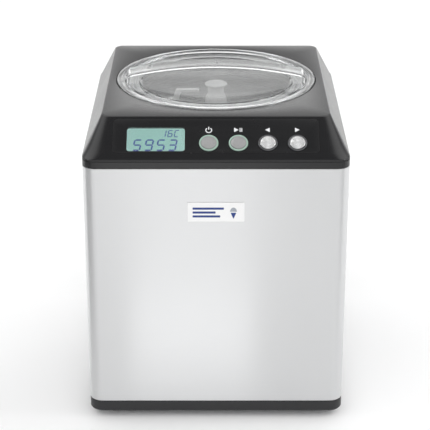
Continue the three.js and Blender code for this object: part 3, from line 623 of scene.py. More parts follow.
def inset_at(z, run, s, round_over=2.5 * MM):
    """How far the cover's side has moved in at a height: upright, then an arc, then the straight slope."""
    shoulder = PLATE_Z - s.slope_rise
    turn = math.atan2(run, s.slope_rise)
    tangent = round_over * math.tan(turn / 2)
    start, end = shoulder - tangent, shoulder + tangent * math.cos(turn)
    arc = round_over - np.sqrt(np.maximum(round_over**2 - np.clip(z - start, 0, round_over) ** 2, 0))
    slope = (z - shoulder) / s.slope_rise * run
    return np.where(z <= start, 0, np.where(z < end, arc, slope))


def cover_rows(s):
    """Rings up the outside of the cover, from its lower edge to the rounded edge of the flat top."""
    low, front, rear = COVER_LOW[2], COVER_LOW[1], COVER_HIGH[1]
    lip, groove, deep = 0.6 * MM, PLATE_Z - 35.9 * MM, 0.8 * MM
    shoulder = PLATE_Z - s.slope_rise
    band = [(lip, low), (0, low + lip), (0, groove - 0.3 * MM), (0.2 * MM, groove), (deep, groove + 0.1 * MM),
            (deep, groove + 0.8 * MM), (0.15 * MM, groove + 0.95 * MM)]
    rows = [(HALF_WIDTH - inset, front + inset, rear - inset, s.corner - inset, z) for inset, z in band]
    z = np.concatenate([np.linspace(shoulder - 1.2 * MM, shoulder + 1.6 * MM, 12),
                        np.linspace(shoulder + 5 * MM, PLATE_Z - 0.8 * MM, 6)])
    t = np.linspace(0.15, 1, 6) * TAU / 4
    top = PLATE_Z - 0.8 * MM * (1 - np.sin(t))
    extra = np.concatenate([np.zeros(len(z)), 1.4 * MM * (1 - np.cos(t))])
    z = np.concatenate([z, top])
    share = np.clip((z - shoulder) / s.slope_rise, 0, 1)
    hip = s.corner + (s.hip - s.corner) * np.clip(share / 0.12, 0, 1)
    corner = hip + (s.plate_corner - hip) * share
    width = HALF_WIDTH - inset_at(z, s.side_run, s) - extra
    face = front + inset_at(z, s.front_run, s) + extra
    return rows + list(zip(width, face, rear - extra, corner, z))


def top_moulding_mesh(s):
    """One closed skin: up the outside, over the flat top, down the lid's recess, out under its floor and
    down the inside."""
    wall = 2.6 * MM
    outer = rect_rings(cover_rows(s))
    recess, floor = LID_RADIUS + 1 * MM, PLATE_Z - 9.1 * MM
    mouth = span("cooling_well")[1][0] - AXIS[0] - 20.4 * MM
    edge = 0.7 * MM
    t = np.linspace(0, 1, 5) * TAU / 4
    lip = list(zip(recess + edge * (1 - np.sin(t)), PLATE_Z - edge * (1 - np.cos(t))))
    down = [(recess, floor + 1 * MM), (recess - 0.3 * MM, floor + 0.3 * MM), (recess - 1 * MM, floor),
            (mouth, floor), (mouth, floor - wall), (recess + wall, floor - wall),
            (recess + wall, PLATE_Z - 4 * MM)]
    circles = circle_rings(outer[-1], AXIS, lip + down)
    front, rear = COVER_LOW[1], COVER_HIGH[1]
    shoulder = PLATE_Z - s.slope_rise
    z = np.array([PLATE_Z - 4 * MM, shoulder, shoulder - 4 * MM, COVER_LOW[2]])
    inner = rect_rings(list(zip(
        HALF_WIDTH - inset_at(z, s.side_run, s) - wall * 1.3,
        front + inset_at(z, s.front_run, s) + wall * 1.9,
        np.full(4, rear - wall), np.full(4, s.hip), z)))
    return build_mesh("top_moulding", [skin(np.concatenate([outer, circles, inner]), loop_rows=True)])


def panel_holes():
    """Openings for the display and the buttons, as outlines on the panel."""
    centre, half, _, _ = panel_seat("display_window")
    holes = [box_outline(*(half + HOLE_GAP), 3 * MM, centre)]
    for button in BUTTONS:
        centre, half, _, _ = panel_seat(button + "_button_ring")
        holes.append(disc_outline(half[0] + HOLE_GAP, centre))
    return holes


def panel_cutters():
    """Seat of the film and the openings in it, as bodies through the panel."""
    half = panel_seat("control_fascia")[1]
    parts = [prism(box_outline(*(half + 0.25 * MM), 5.2 * MM), -0.62 * MM, 6 * MM)]
    parts += [prism(hole, -13 * MM, 5 * MM) for hole in panel_holes()]
    return [placed(part, PANEL) for part in parts]


class MAKER_OT_top_moulding(bpy.types.Operator):
    """Black top moulding with its sloping sides, lid recess and panel openings."""

    bl_idname = "maker.top_moulding"
    bl_label = "Top moulding"

    def execute(self, context):
        s = settings()
        mesh = carved(top_moulding_mesh(s), panel_cutters())
        finish = moulded("black_moulding", s.black, 0.22)
        add_piece("top_moulding", mesh, finish, ["top_cover"])
        return {"FINISHED"}


def bend_line(half, front, radius):
    """Open U seen from above: down the left side, across the front and up the right side."""
    rear = WRAP_HIGH[1]
    return rounded([(-half, rear), (-half, front), (half, front), (half, rear)], [0, radius, radius, 0], 14,
                   loop=False)


def sheet_outline(s):
    """Bent sheet seen from above, as one closed line: out round the bends and back inside them."""
    thick, half, front = 0.9 * MM, WRAP_HIGH[0], WRAP_LOW[1]
    outer = bend_line(half, front, s.corner)
    inner = bend_line(half - thick, front + thick, s.corner - thick)
    return np.concatenate([outer, inner[::-1]])


def slots(count, low, half_length, height, middle, turn, depth):
    """Row of round-ended slots one above the other, as bodies turned to run right through a wall."""
    body = prism(box_outline(half_length, height / 2, height / 2 - 1e-5, steps=5), -depth / 2, depth / 2)
    turned = Matrix(turn).to_4x4()
    return [placed(body, Matrix.Translation((*middle, low + SLOT_PITCH * i)) @ turned) for i in range(count)]


class MAKER_OT_steel_case(bpy.types.Operator):
    """Brushed sheet bent round the front and both sides, with ventilation slots."""

    bl_idname = "maker.steel_case"
    bl_label = "Steel case"

    def execute(self, context):
        s = settings()
        mesh = build_mesh("steel_case", [prism(sheet_outline(s), WRAP_LOW[2], WRAP_HIGH[2])])
        vents = slots(count=11, low=WRAP_LOW[2] + 26.1 * MM, half_length=40 * MM, height=3.2 * MM,
                      middle=(0, 10 * MM), turn=((0, 0, 1), (1, 0, 0), (0, 1, 0)), depth=0.4)
        finish = brushed_sheet("brushed_case", s.steel)
        add_piece("steel_case", carved(mesh, vents), finish, ["steel_wrap"])
        return {"FINISHED"}


class MAKER_OT_base(bpy.types.Operator):
    """Black skirt round the foot of the case and the four rubber feet."""

    bl_idname = "maker.base"
    bl_label = "Base and feet"

    def execute(self, context):
        s = settings()
        low, high = span("base_skirt")
        foot, top = low[2] / MM, high[2] / MM
        section = [(3, foot, 0), (1.5, foot, 0.3), (0, foot + 1.8, 0.6), (0, top, 0.5), (3, top, 0.3)]
        inset, z = drawn(section, 4).T
        rows = list(zip(high[0] - inset, low[1] + inset, high[1] - inset, s.corner - inset, z))
        finish = moulded("base_black", shade(s.black, 1.5), 0.4, 0.3, 1200)
        add_piece("base_moulding", [skin(rect_rings(rows), loop_rows=True)], finish,
                  ["base_skirt"])
        tread = rubber("foot_rubber")
        for node in ("foot_front_left", "foot_front_right", "foot_rear_left", "foot_rear_right"):
            self.foot(node, tread)
        return {"FINISHED"}

    def foot(self, node, finish):
        """Round foot with a hollow under its middle and a wide chamfer."""
        low, high = span(node)
        r, top = (high[0] - low[0]) / 2 / MM, (high[2] - low[2]) / MM
        profile = drawn([(0, 0.5, 0), (r * 0.5, 0.5, 0.2), (r * 0.5, 0, 0.2), (r - 1.4, 0, 0.5),
                         (r, 1.3, 0.6), (r, top, 0.5), (0, top, 0)], 4, loop=False)
        part = revolved(profile, (low[:2] + high[:2]) / 2, 64, closed=False)
        add_piece(node + "_pad", [part], finish, [node])


def rear_mesh(s):
    """Rear moulding as an outline seen from above, extruded, then hollowed from the front."""
    low, high = span("rear_cover")
    wall = 2.5 * MM

    def outline(side, front, rear, front_corner, rear_corner):
        left, right = low[0] + side, high[0] - side
        points = [(left, front), (right, front), (right, rear), (left, rear)]
        return rounded(points, [front_corner, front_corner, rear_corner, rear_corner], 12)

    outside = outline(0, low[1], high[1], 0.8 * MM, s.corner)
    hollow = outline(wall, low[1] - 20 * MM, high[1] - wall, 0, s.corner - wall)
    mesh = build_mesh("rear_moulding", [prism(outside, low[2], high[2], 0.6 * MM)])
    return carved(mesh, [prism(hollow, low[2] + wall, high[2] + 5 * MM)])


class MAKER_OT_rear(bpy.types.Operator):
    """Black rear moulding with its louvres, inlet opening and screws."""

    bl_idname = "maker.rear"
    bl_label = "Rear cover"

    def execute(self, context):
        s = settings()
        low, high = span("rear_cover")
        inlet = sum(span("inlet_socket")) / 2
        hole = box_outline(14 * MM, 10.5 * MM, 1 * MM, (inlet[0], inlet[2]))
        through = Matrix.Translation((0, high[1], 0)) @ Matrix.Rotation(TAU / 4, 4, "X")
        louvres = low[2] + 62.2 * MM
        cutters = [placed(prism(hole, -9 * MM, 9 * MM), through)]
        cutters += slots(count=14, low=louvres, half_length=70 * MM, height=3.4 * MM,
                         middle=(0, WRAP_HIGH[1] + 17 * MM), turn=((1, 0, 0), (0, 0, 1), (0, 1, 0)),
                         depth=0.03)
        finish = moulded("rear_black", shade(s.black, 1.3), 0.45, 0.45, 700)
        add_piece("rear_moulding", carved(rear_mesh(s), cutters), finish, ["rear_cover"])
        middle = (0, -louvres - 58.5 * MM)
        lines = [box_outline(76 * MM, 67 * MM, 5 * MM, middle),
                 box_outline(74.8 * MM, 65.8 * MM, 4 * MM, middle)[::-1]]
        border = flat_mesh("louvre_border", lines, 0.8 * MM, 0.2 * MM)
        border.transform(Matrix.Translation((0, high[1] + 0.4 * MM, 0)) @ Matrix.Rotation(-TAU / 4, 4, "X"))
        add_piece("louvre_border", border, finish)
        head = bare_metal("screw_zinc", (0.62, 0.63, 0.66), 0.25, 300)
        for i in range(1, 5):
            self.screw(f"rear_screw_{i}", head)
        return {"FINISHED"}

    def screw(self, node, finish):
        """Pan head: height falls off with radius, and a cross is sunk where the point is near either arm."""
        low, high = span(node)
        radius, rows, columns = (high[0] - low[0]) / 2, 40, 96
        r = np.linspace(0, 1, rows)[:, None] * radius
        a = np.arange(columns)[None] / columns * TAU
        x, y = r * np.cos(a), r * np.sin(a)
        dome = 1.4 * MM * np.sqrt(np.maximum(1 - (r / radius * 0.92) ** 2, 0))
        near = np.minimum(np.abs(x), np.abs(y)) < 0.55 * MM
        arm = np.maximum(np.abs(x), np.abs(y)) < 2.3 * MM
        top = dome * np.ones_like(a) - np.where(near & arm, 0.8 * MM, 0)
        face = np.stack([x, y, top], -1)
        rim = np.stack([x[-1], y[-1], np.full(columns, 0.2 * MM)], -1)[None]
        shank = np.stack([x[-1] * 0.45, y[-1] * 0.45, np.full(columns, 0.2 * MM)], -1)[None]
        tip = shank - (0, 0, 11 * MM)
        part = skin(np.concatenate([face, rim, shank, tip]), caps=True)
        centre = (low + high) / 2
        wall = high[1] - 1.4 * MM
        place = Matrix.Translation((centre[0], wall, centre[2])) @ Matrix.Rotation(-TAU / 4, 4, "X")
        add_piece(node + "_head", [placed(part, place)], finish, [node])


# ---- control panel ----


def power_mark(size):
    """Ring with a gap at the top, as one band, and an upright bar in the gap."""
    gap, outer, inner = 0.62, size, size * 0.7
    a = np.linspace(TAU / 4 + gap, TAU * 1.25 - gap, 40)
    ring = np.stack([np.cos(a), np.sin(a)], -1)
    return [np.concatenate([ring * outer, ring[::-1] * inner]) - (0, size * 0.12),
            box_outline(size * 0.14, size * 0.5, 0.1 * MM, (0, size * 0.62))]


def arrow_mark(size, way):
    """Solid triangle that points to one side."""
    points = np.array([(-0.62, -0.8), (0.75, 0), (-0.62, 0.8)]) * size
    outline = rounded(points, 0.15 * MM, 3)
    return [outline if way > 0 else (outline * (-1, 1))[::-1]]


def start_mark(size):
    """Triangle and two bars."""
    marks = [arrow_mark(size, 1)[0] - (size * 0.62, 0)]
    return marks + [box_outline(size * 0.13, size * 0.68, 0.1 * MM, (size * x, 0)) for x in (0.52, 1.02)]


SEGMENTS_OF = {"0": "abcdef", "1": "bc", "2": "abged", "3": "abgcd", "4": "fgbc", "5": "afgcd",
               "6": "afgedc", "7": "abc", "8": "abcdefg", "9": "abfgcd", "C": "afed"}


def lit_bar(half, thick, gap):
    """Six-sided bar with pointed ends, lying along X."""
    end, inner = half - gap, half - gap - thick / 2
    side = np.array([0, -1, -1, 0, 1, 1]) * thick / 2
    return np.stack([(-end, -inner, inner, end, inner, -inner), side], -1)


def digit_segments(sign, width, height, thick, lean=0.16):
    """Lit bars of a seven-segment sign, leaning to the right; an upright bar is a level one turned."""
    gap = thick * 0.12
    reach, tall = (width - thick) / 2, (height - thick) / 4
    top = (height - thick) / 2
    level = lit_bar(reach, thick, gap)
    upright = lit_bar(tall, thick, gap)[:, ::-1] * (-1, 1)
    shapes = {"a": level + (0, top), "g": level, "d": level - (0, top),
              "b": upright + (reach, top / 2), "c": upright + (reach, -top / 2),
              "f": upright + (-reach, top / 2), "e": upright + (-reach, -top / 2)}
    found = [shapes[key] for key in SEGMENTS_OF[sign]]
    return [np.stack([p[:, 0] + p[:, 1] * lean, p[:, 1]], -1) for p in found]


def signs(text, start, pitch, width, height, thick):
    """Bars of a row of signs, with the first sign's centre at start."""
    return [bar + (start[0] + pitch * i, start[1]) for i, sign in enumerate(text)
            for bar in digit_segments(sign, width, height, thick)]


def printed_marks(name, outlines, lift, finish, matrix=PANEL):
    """Thin raised print from closed outlines, on the panel or through another matrix."""
    add_piece(name, [placed(prism(outline, lift, lift + 0.05 * MM), matrix) for outline in outlines], finish)


class MAKER_OT_panel(bpy.types.Operator):
    """Film on the slope with its printed marks."""

    bl_idname = "maker.panel"
    bl_label = "Panel film"

    def execute(self, context):
        s = settings()
        outlines = [box_outline(*panel_seat("control_fascia")[1], 5 * MM)]
        outlines += [hole[::-1] for hole in panel_holes()]
        film = on_panel(flat_mesh("panel_film", outlines, 0.5 * MM, 0.08 * MM))
        finish = moulded("film_black", shade(s.black, 0.85), 0.26, 0.08, 1500)
        add_piece("panel_film", film, finish, ["control_fascia"])
        self.marks()
        return {"FINISHED"}

    def marks(self):
        """White mark above each button."""
        ink = printed("panel_white", (0.78, 0.79, 0.8))
        size, up = 3.7 * MM, 17.4 * MM
        shapes = [power_mark(size), start_mark(size), arrow_mark(size, -1), arrow_mark(size, 1)]
        for button, marks in zip(BUTTONS, shapes):
            centre = panel_seat(button + "_button_ring")[0] + (0, up)
            printed_marks(button + "_mark", [mark + centre for mark in marks], 0.01 * MM, ink)


class MAKER_OT_display(bpy.types.Operator):
    """Lit display under a clear pane, with its border and digits."""

    bl_idname = "maker.display"
    bl_label = "Display"

    def execute(self, context):
        s = settings()
        centre, half, _, _ = panel_seat("display_window")
        pane = flat_mesh("display_pane", [box_outline(*half, 3 * MM, centre)], 1.2 * MM, 0.15 * MM)
        add_piece("display_pane", on_panel(pane), clear_plastic("display_clear"), ["display_window"])
        glass = prism(box_outline(*(half - 0.3 * MM), 2.6 * MM, centre), -4.5 * MM, -1.9 * MM)
        border = lit("display_border", shade(s.display, 1.25), 0.12)
        add_piece("display_glass", [placed(glass, PANEL)], border)
        field = prism(box_outline(*(half - 1.3 * MM), 2 * MM, centre), -1.9 * MM, -1.84 * MM)
        add_piece("display_field", [placed(field, PANEL)], lit("display_light", s.display, 0.1))
        ink = printed("display_ink", s.digits)
        big = signs(s.time_shown, centre + (-19.9 * MM, -6.6 * MM), pitch=12.7 * MM, width=9 * MM,
                    height=15 * MM, thick=1.7 * MM)
        printed_marks("display_time", big, -1.83 * MM, ink)
        small = signs("16C", centre + (8.4 * MM, 8.6 * MM), pitch=7 * MM, width=5.2 * MM,
                      height=9.4 * MM, thick=1 * MM)
        printed_marks("display_temperature", small, -1.83 * MM, ink)
        return {"FINISHED"}


class MAKER_OT_buttons(bpy.types.Operator):
    """Four turned metal caps, each in its ring; the first two rings are lit."""

    bl_idname = "maker.buttons"
    bl_label = "Buttons"

    def execute(self, context):
        glow = lit("ring_light", (0.36, 0.5, 0.42), 0.06)
        dark = bare_metal("ring_dark", (0.2, 0.2, 0.21), 0.22, 400)
        for i, button in enumerate(BUTTONS):
            is_lit = i < 2
            self.ring(button, glow if is_lit else dark, "lit_ring" if is_lit else "dark_plastic")
            self.cap(button, 0.36 if is_lit else 0.14, 0.4 if is_lit else 0.72)
        return {"FINISHED"}

    def ring(self, button, finish, slot):
        """Flat ring with rounded upper edges."""
        node = button + "_button_ring"
        centre, (outer, _), low, high = panel_seat(node)
        inner = outer - 1.7 * MM
        profile = rounded([(inner, low), (outer, low), (outer, high), (inner, high)],
                          np.array([0.1, 0.1, 0.7, 0.5]) * MM, 5)
        add_piece(button + "_ring", [placed(revolved(profile, centre, 72), PANEL)], finish, [node])

    def cap(self, button, roughness, tone):
        """Cap with a raised rim, a fine step and a slightly hollow face on its stem."""
        node = button + "_button"
        centre, (radius, _), low, top = panel_seat(node)
        r, top = radius / MM, top / MM
        stem, under, foot = 2.6, top - 5, low / MM
        profile = drawn([(0, top - 0.55, 0), (r * 0.5, top - 0.45, 3), (r * 0.8, top - 0.25, 0.3),
                         (r * 0.84, top, 0.25), (r, top, 0.7), (r, under, 0.3), (stem, under, 0.3),
                         (stem, foot, 0.3), (0, foot, 0)], 6, loop=False)
        part = placed(revolved(profile, centre, 96, closed=False), PANEL)
        finish = self.turned_face(button + "_cap_metal", centre, roughness, tone)
        add_piece(button + "_cap", [part], finish, [node], node)

    def turned_face(self, name, centre, roughness, tone):
        """Fine rings round the cap's own axis, found by turning the position into the panel's directions."""
        f = Finish(name, Metallic=1.0)
        middle = PANEL @ Vector((*centre, 0))
        level = f.shifted(offset=-middle)
        parts = [f.node("ShaderNodeVectorMath", {"operation": "DOT_PRODUCT"}, {0: level, 1: PANEL.col[i].xyz},
                        output=1) for i in range(2)]
        reach = (parts[0] * parts[0] + parts[1] * parts[1]).root()
        ring = (reach * 16000 + f.grain(90) * 3).sine() * 0.5 + 0.5
        cloud = f.grain(500, detail=3)
        f.set(Base_Color=f.tint(cloud, (tone * 0.8,) * 3, (tone,) * 3))
        f.set(Roughness=f.ramp(cloud, roughness - 0.04, roughness + 0.08))
        return f.bump(ring, 0.9, 0.06 * MM)


class MAKER_OT_badge(bpy.types.Operator):
    """White badge on the front with a plain cone pictogram and bars."""

    bl_idname = "maker.badge"
    bl_label = "Badge"

    def execute(self, context):
        s = settings()
        low, high = span("front_badge")
        half = (high - low) / 2
        centre = (low + high) / 2
        plate = flat_mesh("badge_plate", [box_outline(half[0], half[2], 0.7 * MM)], 0.35 * MM, 0.06 * MM)
        front = Matrix.Translation((centre[0], low[1] + 0.06 * MM, centre[2]))
        face = front @ Matrix.Rotation(TAU / 4, 4, "X")
        plate.transform(face)
        add_piece("badge_plate", plate, printed("badge_white", (0.87, 0.87, 0.87), 0.35),
                  ["front_badge"])
        ink = printed("badge_ink", s.badge)
        pale = printed("badge_grey", (0.35, 0.38, 0.42))
        cone = rounded([(-3.1 * MM, -0.6 * MM), (3.1 * MM, -0.6 * MM), (0, -8.2 * MM)],
                       [0.5 * MM, 0.5 * MM, 0.4 * MM], 4)[::-1]
        a = np.linspace(0, TAU / 2, 24)
        scoop = np.stack([np.cos(a) * 3.7 * MM, np.sin(a) * 4.9 * MM + 0.5 * MM], -1)
        right = (19 * MM, 0)
        bars = [box_outline(w * MM, 1.25 * MM, 0.5 * MM, (x * MM, y * MM))
                for w, x, y in ((17, -8.5, 4.2), (12.5, -13, -0.4), (15, -10.5, -5))]
        printed_marks("badge_bars", bars, 0.005 * MM, ink, matrix=face)
        printed_marks("badge_scoop", [scoop + right], 0.005 * MM, pale, matrix=face)
        printed_marks("badge_cone", [cone + right], 0.005 * MM, ink, matrix=face)
        return {"FINISHED"}


# ---- lid ----


def lid_profile():
    """Half section of the lid: floor, raised inner bead, dished wall, rounded rim and hanging skirt."""
    r, top, low = LID_RADIUS / MM, LID_HIGH[2] / MM, LID_LOW[2] / MM
    floor, bead = top - 3.6, r - 27.8
    return drawn([
        (0, floor - 2, 0), (r - 16, floor - 2, 1), (r - 3.6, top - 3.6, 1), (r - 3, low, 0.3),
        (r - 0.8, low, 0.3),
        (r, top - 1.2, 0.6), (r - 0.5, top, 0.5), (r - 5.4, top, 0.5), (r - 6.2, top - 0.8, 0.3),
        (r - 9.4, top - 1, 0.6), (r - 11.6, floor, 0.8), (bead + 1.6, floor, 0.4),
        (bead + 1, floor + 1.1, 0.4),
        (bead - 0.6, floor + 1.1, 0.4), (bead - 1.6, floor - 0.5, 0.4), (0, floor - 0.5, 0),
    ], 5, loop=False)


def strap_part(s):
    """Strap as a section carried along an arch: at each station the section's width runs along Y and its
    thickness stands square to the arch, and both ends turn down into the feet."""
    low, high = span("lid_handle")
    reach, width = high[0], (high[1] - low[1]) / 2
    thick, lip = 2.3 * MM, 0.45 * MM
    radius = (reach**2 + s.strap_rise**2) / (2 * s.strap_rise)
    section = rounded([(-width, 0), (width, 0), (width, thick + lip), (width - 2.2 * MM, thick + lip),
                       (width - 3 * MM, thick), (-width + 3 * MM, thick), (-width + 2.2 * MM, thick + lip),
                       (-width, thick + lip)], np.array([1, 1, 0.8, 0.5, 0.4, 0.4, 0.5, 0.8]) * MM, 4)
    edge = 5 * MM
    x = np.linspace(-reach + edge, reach - edge, 72)
    arch = np.stack([x, high[2] - thick - lip - radius + np.sqrt(radius**2 - x**2)], -1)
    tilt = np.arcsin(x / radius)
    a = np.linspace(0, 1, 9)[1:] * TAU / 4
    foot = low[2] + 0.15 * MM
    bend = np.stack([x[-1] + np.sin(a) * (edge - thick), arch[-1, 1] - (1 - np.cos(a)) * (edge - thick)], -1)
    right = np.concatenate([bend, [(bend[-1, 0], foot)]])
    turn = np.append(tilt[-1] + a * (1 - tilt[-1] / (TAU / 4)), TAU / 4)
    path = np.concatenate([(right * (-1, 1))[::-1], arch, right])
    angle = np.concatenate([-turn[::-1], tilt, turn])
    out = np.stack([np.sin(angle), np.zeros(len(angle)), np.cos(angle)], -1)
    base = np.stack([path[:, 0], np.full(len(path), AXIS[1]), path[:, 1]], -1)
    grid = base[:, None] + section[None, :, 1:] * out[:, None]
    grid[:, :, 1] += section[None, :, 0]
    return skin(grid, caps=True)


class MAKER_OT_lid(bpy.types.Operator):
    """Clear dished lid and its arched strap."""

    bl_idname = "maker.lid"
    bl_label = "Lid"

    def execute(self, context):
        s = settings()
        finish = clear_plastic("lid_clear", 0.96)
        lid = revolved(lid_profile(), AXIS, 200, closed=False)
        add_piece("lid_shell", [lid], finish, ["lid"], "lid")
        gate = drawn([(1.6, 0, 0.15), (2.8, 0, 0.15), (2.8, 0.4, 0.15), (1.6, 0.4, 0.15)], 3)
        top = span("lid_handle")[1][2] - 0.5 * MM
        mark = placed(revolved(gate, AXIS, 40), Matrix.Translation((0, 0, top)))
        add_piece("lid_strap", [strap_part(s), mark], finish, ["lid_handle"], "lid")
        return {"FINISHED"}


# ---- bowl, paddle and well ----


def bowl_profile():
    """Closed half section of the bowl: underside, wall, rolled rim, inside, and the hollow centre post."""
    low, rim, wide = BOWL_LOW[2] / MM, BOWL_HIGH[2] / MM, (BOWL_HIGH[0] - BOWL_LOW[0]) / 2 / MM
    r, wall, post, top = 91, 1.5, 11.8, POST_TOP / MM
    seat, crown, lip, bore = rim - 1.4, rim + 0.8, r - 3.8, 4.8
    return drawn([
        (post - wall, low, 0.2), (r, low, 8), (r, seat, 0.8), (wide, seat, 0.4), (wide, rim, 0.6),
        (r, crown, 1.2),
        (lip, crown, 0.8), (lip, crown - 1.8, 0.7), (r - wall, crown - 1.8, 0.2), (r - wall, low + wall, 6.5),
        (post, low + wall, 2), (post, top, 2), (bore, top, 0.3), (bore, top - wall, 0.2),
        (post - wall, top - wall, 1.2),
    ], 8)


def well_profile():
    """Closed half section of the well: cup, flat deck round its mouth, and the tube for the shaft."""
    low, high = (corner / MM for corner in span("cooling_well"))
    wide, wall, inner, tube = (high[0] - low[0]) / 2, 1.2, 92.3, 6.9
    foot, floor, deck, mouth = low[2], low[2] + wall, high[2] - wall, high[2]
    return drawn([
        (tube, foot, 0.2), (inner + wall, foot, 9), (inner + wall, deck, 0.8), (wide, deck, 0.2),
        (wide, mouth, 0.5),
        (inner, mouth, 1.4), (inner, floor, 8), (tube + wall, floor, 1), (tube + wall, floor + 26, 0.4),
        (tube, floor + 26, 0.4),
    ], 7)


def blade_part(outline, thick):
    """Flat blade with rounded edges, standing in the plane through the axis, from an outline in X and Z."""
    part = prism(outline, -thick, thick, 1.2 * MM)
    return placed(part, Matrix.Translation((0, AXIS[1], 0)) @ Matrix.Rotation(TAU / 4, 4, "X"))


def hub_profile():
    """Half section of the hub: domed cap, neck and a foot that flares over the bowl's post."""
    low, top = (corner[2] / MM for corner in span("mixing_paddle"))
    bore, socket = top - 43.4, top - 17.6
    return drawn([
        (0, top, 0), (10, top - 0.2, 4), (14, top - 2.4, 1.4), (12.6, top - 4.6, 1), (9.8, top - 5.4, 1.2),
        (9.8, top - 16, 8), (13, top - 24, 10), (15, top - 42, 6), (16, low, 1), (12.4, low, 0.3),
        (12.4, bore, 0.5), (4.2, bore, 0.3), (4.2, socket, 0.3), (0, socket, 0),
    ], 6, loop=False)


def blade_outlines():
    """Tall blade to the left with its open window, and the low blade to the right, in X and Z."""
    low, high = (corner / MM for corner in span("mixing_paddle"))
    left, right, floor, top = low[0], high[0], low[2] + 0.5, high[2] - 10
    tall = [(-13, floor, 1), (left + 8, floor, 3), (left, floor + 8, 3), (left, top - 32, 4),
            (left + 8, top - 22, 5),
            (-52, top - 14, 3), (-48, top, 3), (-20, top, 2), (-20, top - 4.8, 1.6), (-42, top - 5, 3),
            (-46, top - 19, 4), (-70, top - 28, 4), (-74, top - 36, 3), (-74, floor + 32, 6),
            (-66, floor + 24, 6), (-13, floor + 24, 1)]
    short = [(13, floor, 1), (right, floor, 3), (right, floor + 16, 5), (13, floor + 16, 1)]
    return [drawn(tall, 5)[::-1], drawn(short, 5)]


class MAKER_OT_bowl(bpy.types.Operator):
    """Bowl, white paddle, cooled well and the drive shaft between them."""

    bl_idname = "maker.bowl"
    bl_label = "Bowl and paddle"

    def execute(self, context):
        metal = bowl_metal("bowl_aluminium", (0.5, 0.505, 0.51))
        add_piece("bowl_shell", [revolved(bowl_profile(), AXIS, 180)], metal, ["bowl"], "bowl")
        metal = spun_metal("well_steel", (0.68, 0.685, 0.69), AXIS)
        add_piece("well_shell", [revolved(well_profile(), AXIS, 180)], metal, ["cooling_well"])
        parts = [revolved(hub_profile(), AXIS, 72, closed=False)]
        parts += [blade_part(outline, 3.2 * MM) for outline in blade_outlines()]
        white = moulded("paddle_white", settings().white, 0.3, 0.06)
        white.set(Subsurface_Weight=0.15, Subsurface_Radius=(0.004, 0.004, 0.004))
        add_piece("paddle_body", parts, white, ["mixing_paddle"], "paddle")
        self.shaft()
        return {"FINISHED"}

    def shaft(self):
        """Round shaft up to the top of the bowl's post, and a hexagon above it that turns the paddle."""
        low, high = span("drive_shaft")
        radius = 4.5 * MM
        round_part = rounded([(0, low[2]), (radius, low[2]), (radius, POST_TOP), (0, POST_TOP)],
                             np.array([0, 0.6, 0.4, 0]) * MM, 3, loop=False)
        hexagon = disc_outline(4.2 * MM, AXIS, 6)
        parts = [revolved(round_part, AXIS, 48, closed=False),
                 prism(hexagon, POST_TOP - 1 * MM, high[2], 0.5 * MM)]
        metal = bare_metal("shaft_steel", (0.6, 0.6, 0.61), 0.2, 200)
        add_piece("shaft_body", parts, metal, ["drive_shaft"], "shaft")


# ---- inside ----


class MAKER_OT_inside(bpy.types.Operator):
    """Finishes of the working parts, which keep their CAD shapes."""

    bl_idname = "maker.inside"
    bl_label = "Working parts"

    def execute(self, context):
        finishes = {
            "aluminium": bare_metal("cast_aluminium", (0.62, 0.63, 0.64), 0.35),
            "copper": bare_metal("copper_pipe", (0.72, 0.36, 0.2), 0.28, 60),
            "brass": bare_metal("turned_brass", (0.7, 0.52, 0.24), 0.25, 200),
            "machined_steel": bare_metal("ground_steel", (0.58, 0.58, 0.6), 0.22, 150),
            "black_paint": painted("compressor_black", (0.012, 0.012, 0.013)),
            "rubber": rubber("mount_rubber"),
            "foam": foamed("case_foam"),
            "circuit": circuit("board_green"),
            "nylon": moulded("gear_nylon", (0.66, 0.64, 0.56), 0.42, 0.12),
            "dark_plastic": moulded("inner_black", (0.02, 0.02, 0.021), 0.45, 0.3),
            "display": moulded("module_grey", (0.2, 0.22, 0.22), 0.4, 0.2),
        }
        slots_of = {row["node"]: row["material_slot"] for row in frame["record"]["subparts"]}
        for node, thing in frame["nodes"].items():
            if thing.hide_render:
                continue
            thing.data.materials.clear()
            thing.data.materials.append(finishes[slots_of[node]].material)
        return {"FINISHED"}


# ---- stage ----


FLOOR_REACH = 6.0
CAMERA_LENS = 125.4
CAMERA_PLACE = (-1.1 * MM, COVER_LOW[1] - 1.5013, 0.88804)
CAMERA_PITCH = 22.92

# Side, distance from the middle, and the Y of both ends.
CARDS = {"left_card": (-1, 0.5, -0.62, -0.1), "right_card": (1, 0.9, -0.9, -0.35)}
CARD_HEIGHT = 0.6

# Place, aim, side of the square in metres and power in watts.
LIGHTS = {
    "left_light": ((-1.4, -0.2, 1.3), (0, 0, 0.3), 0.6, 5),
    "right_light": ((1.4, -0.2, 1.3), (0, 0, 0.3), 0.6, 5),
    "front_strip": ((-0.055, -0.95, 0.01), (-0.02, 0, 0.3), 0.3, 0.3),
    "front_low": ((-0.03, -0.31, 0.01), (-0.02, 0, 0.08), 0.16, 0.04),
}

# Brightness of the surround at places along a direction, from 0 to 1.
SKY_UP = ((0.0, 1.1), (0.25, 0.95), (0.35, 0.74), (0.42, 0.48), (0.5, 0.55), (0.64, 1.6),
          (0.84, 1.6), (0.97, 0.2))
BAND_UP = ((0.0, 1.0), (0.16, 1.0), (0.3, 0.0))
BAND_BACK = ((0.0, 0.0), (0.5, 1.0))
BAND_POWER = 0.9


def stage_plane(name, corners, finish):
    """Four-cornered face that belongs to the stage."""
    mesh = bpy.data.meshes.new(name)
    mesh.from_pydata(corners, [], [(0, 1, 2, 3)])
    mesh.materials.append(finish.material)
    plane = linked(name, mesh)
    return plane


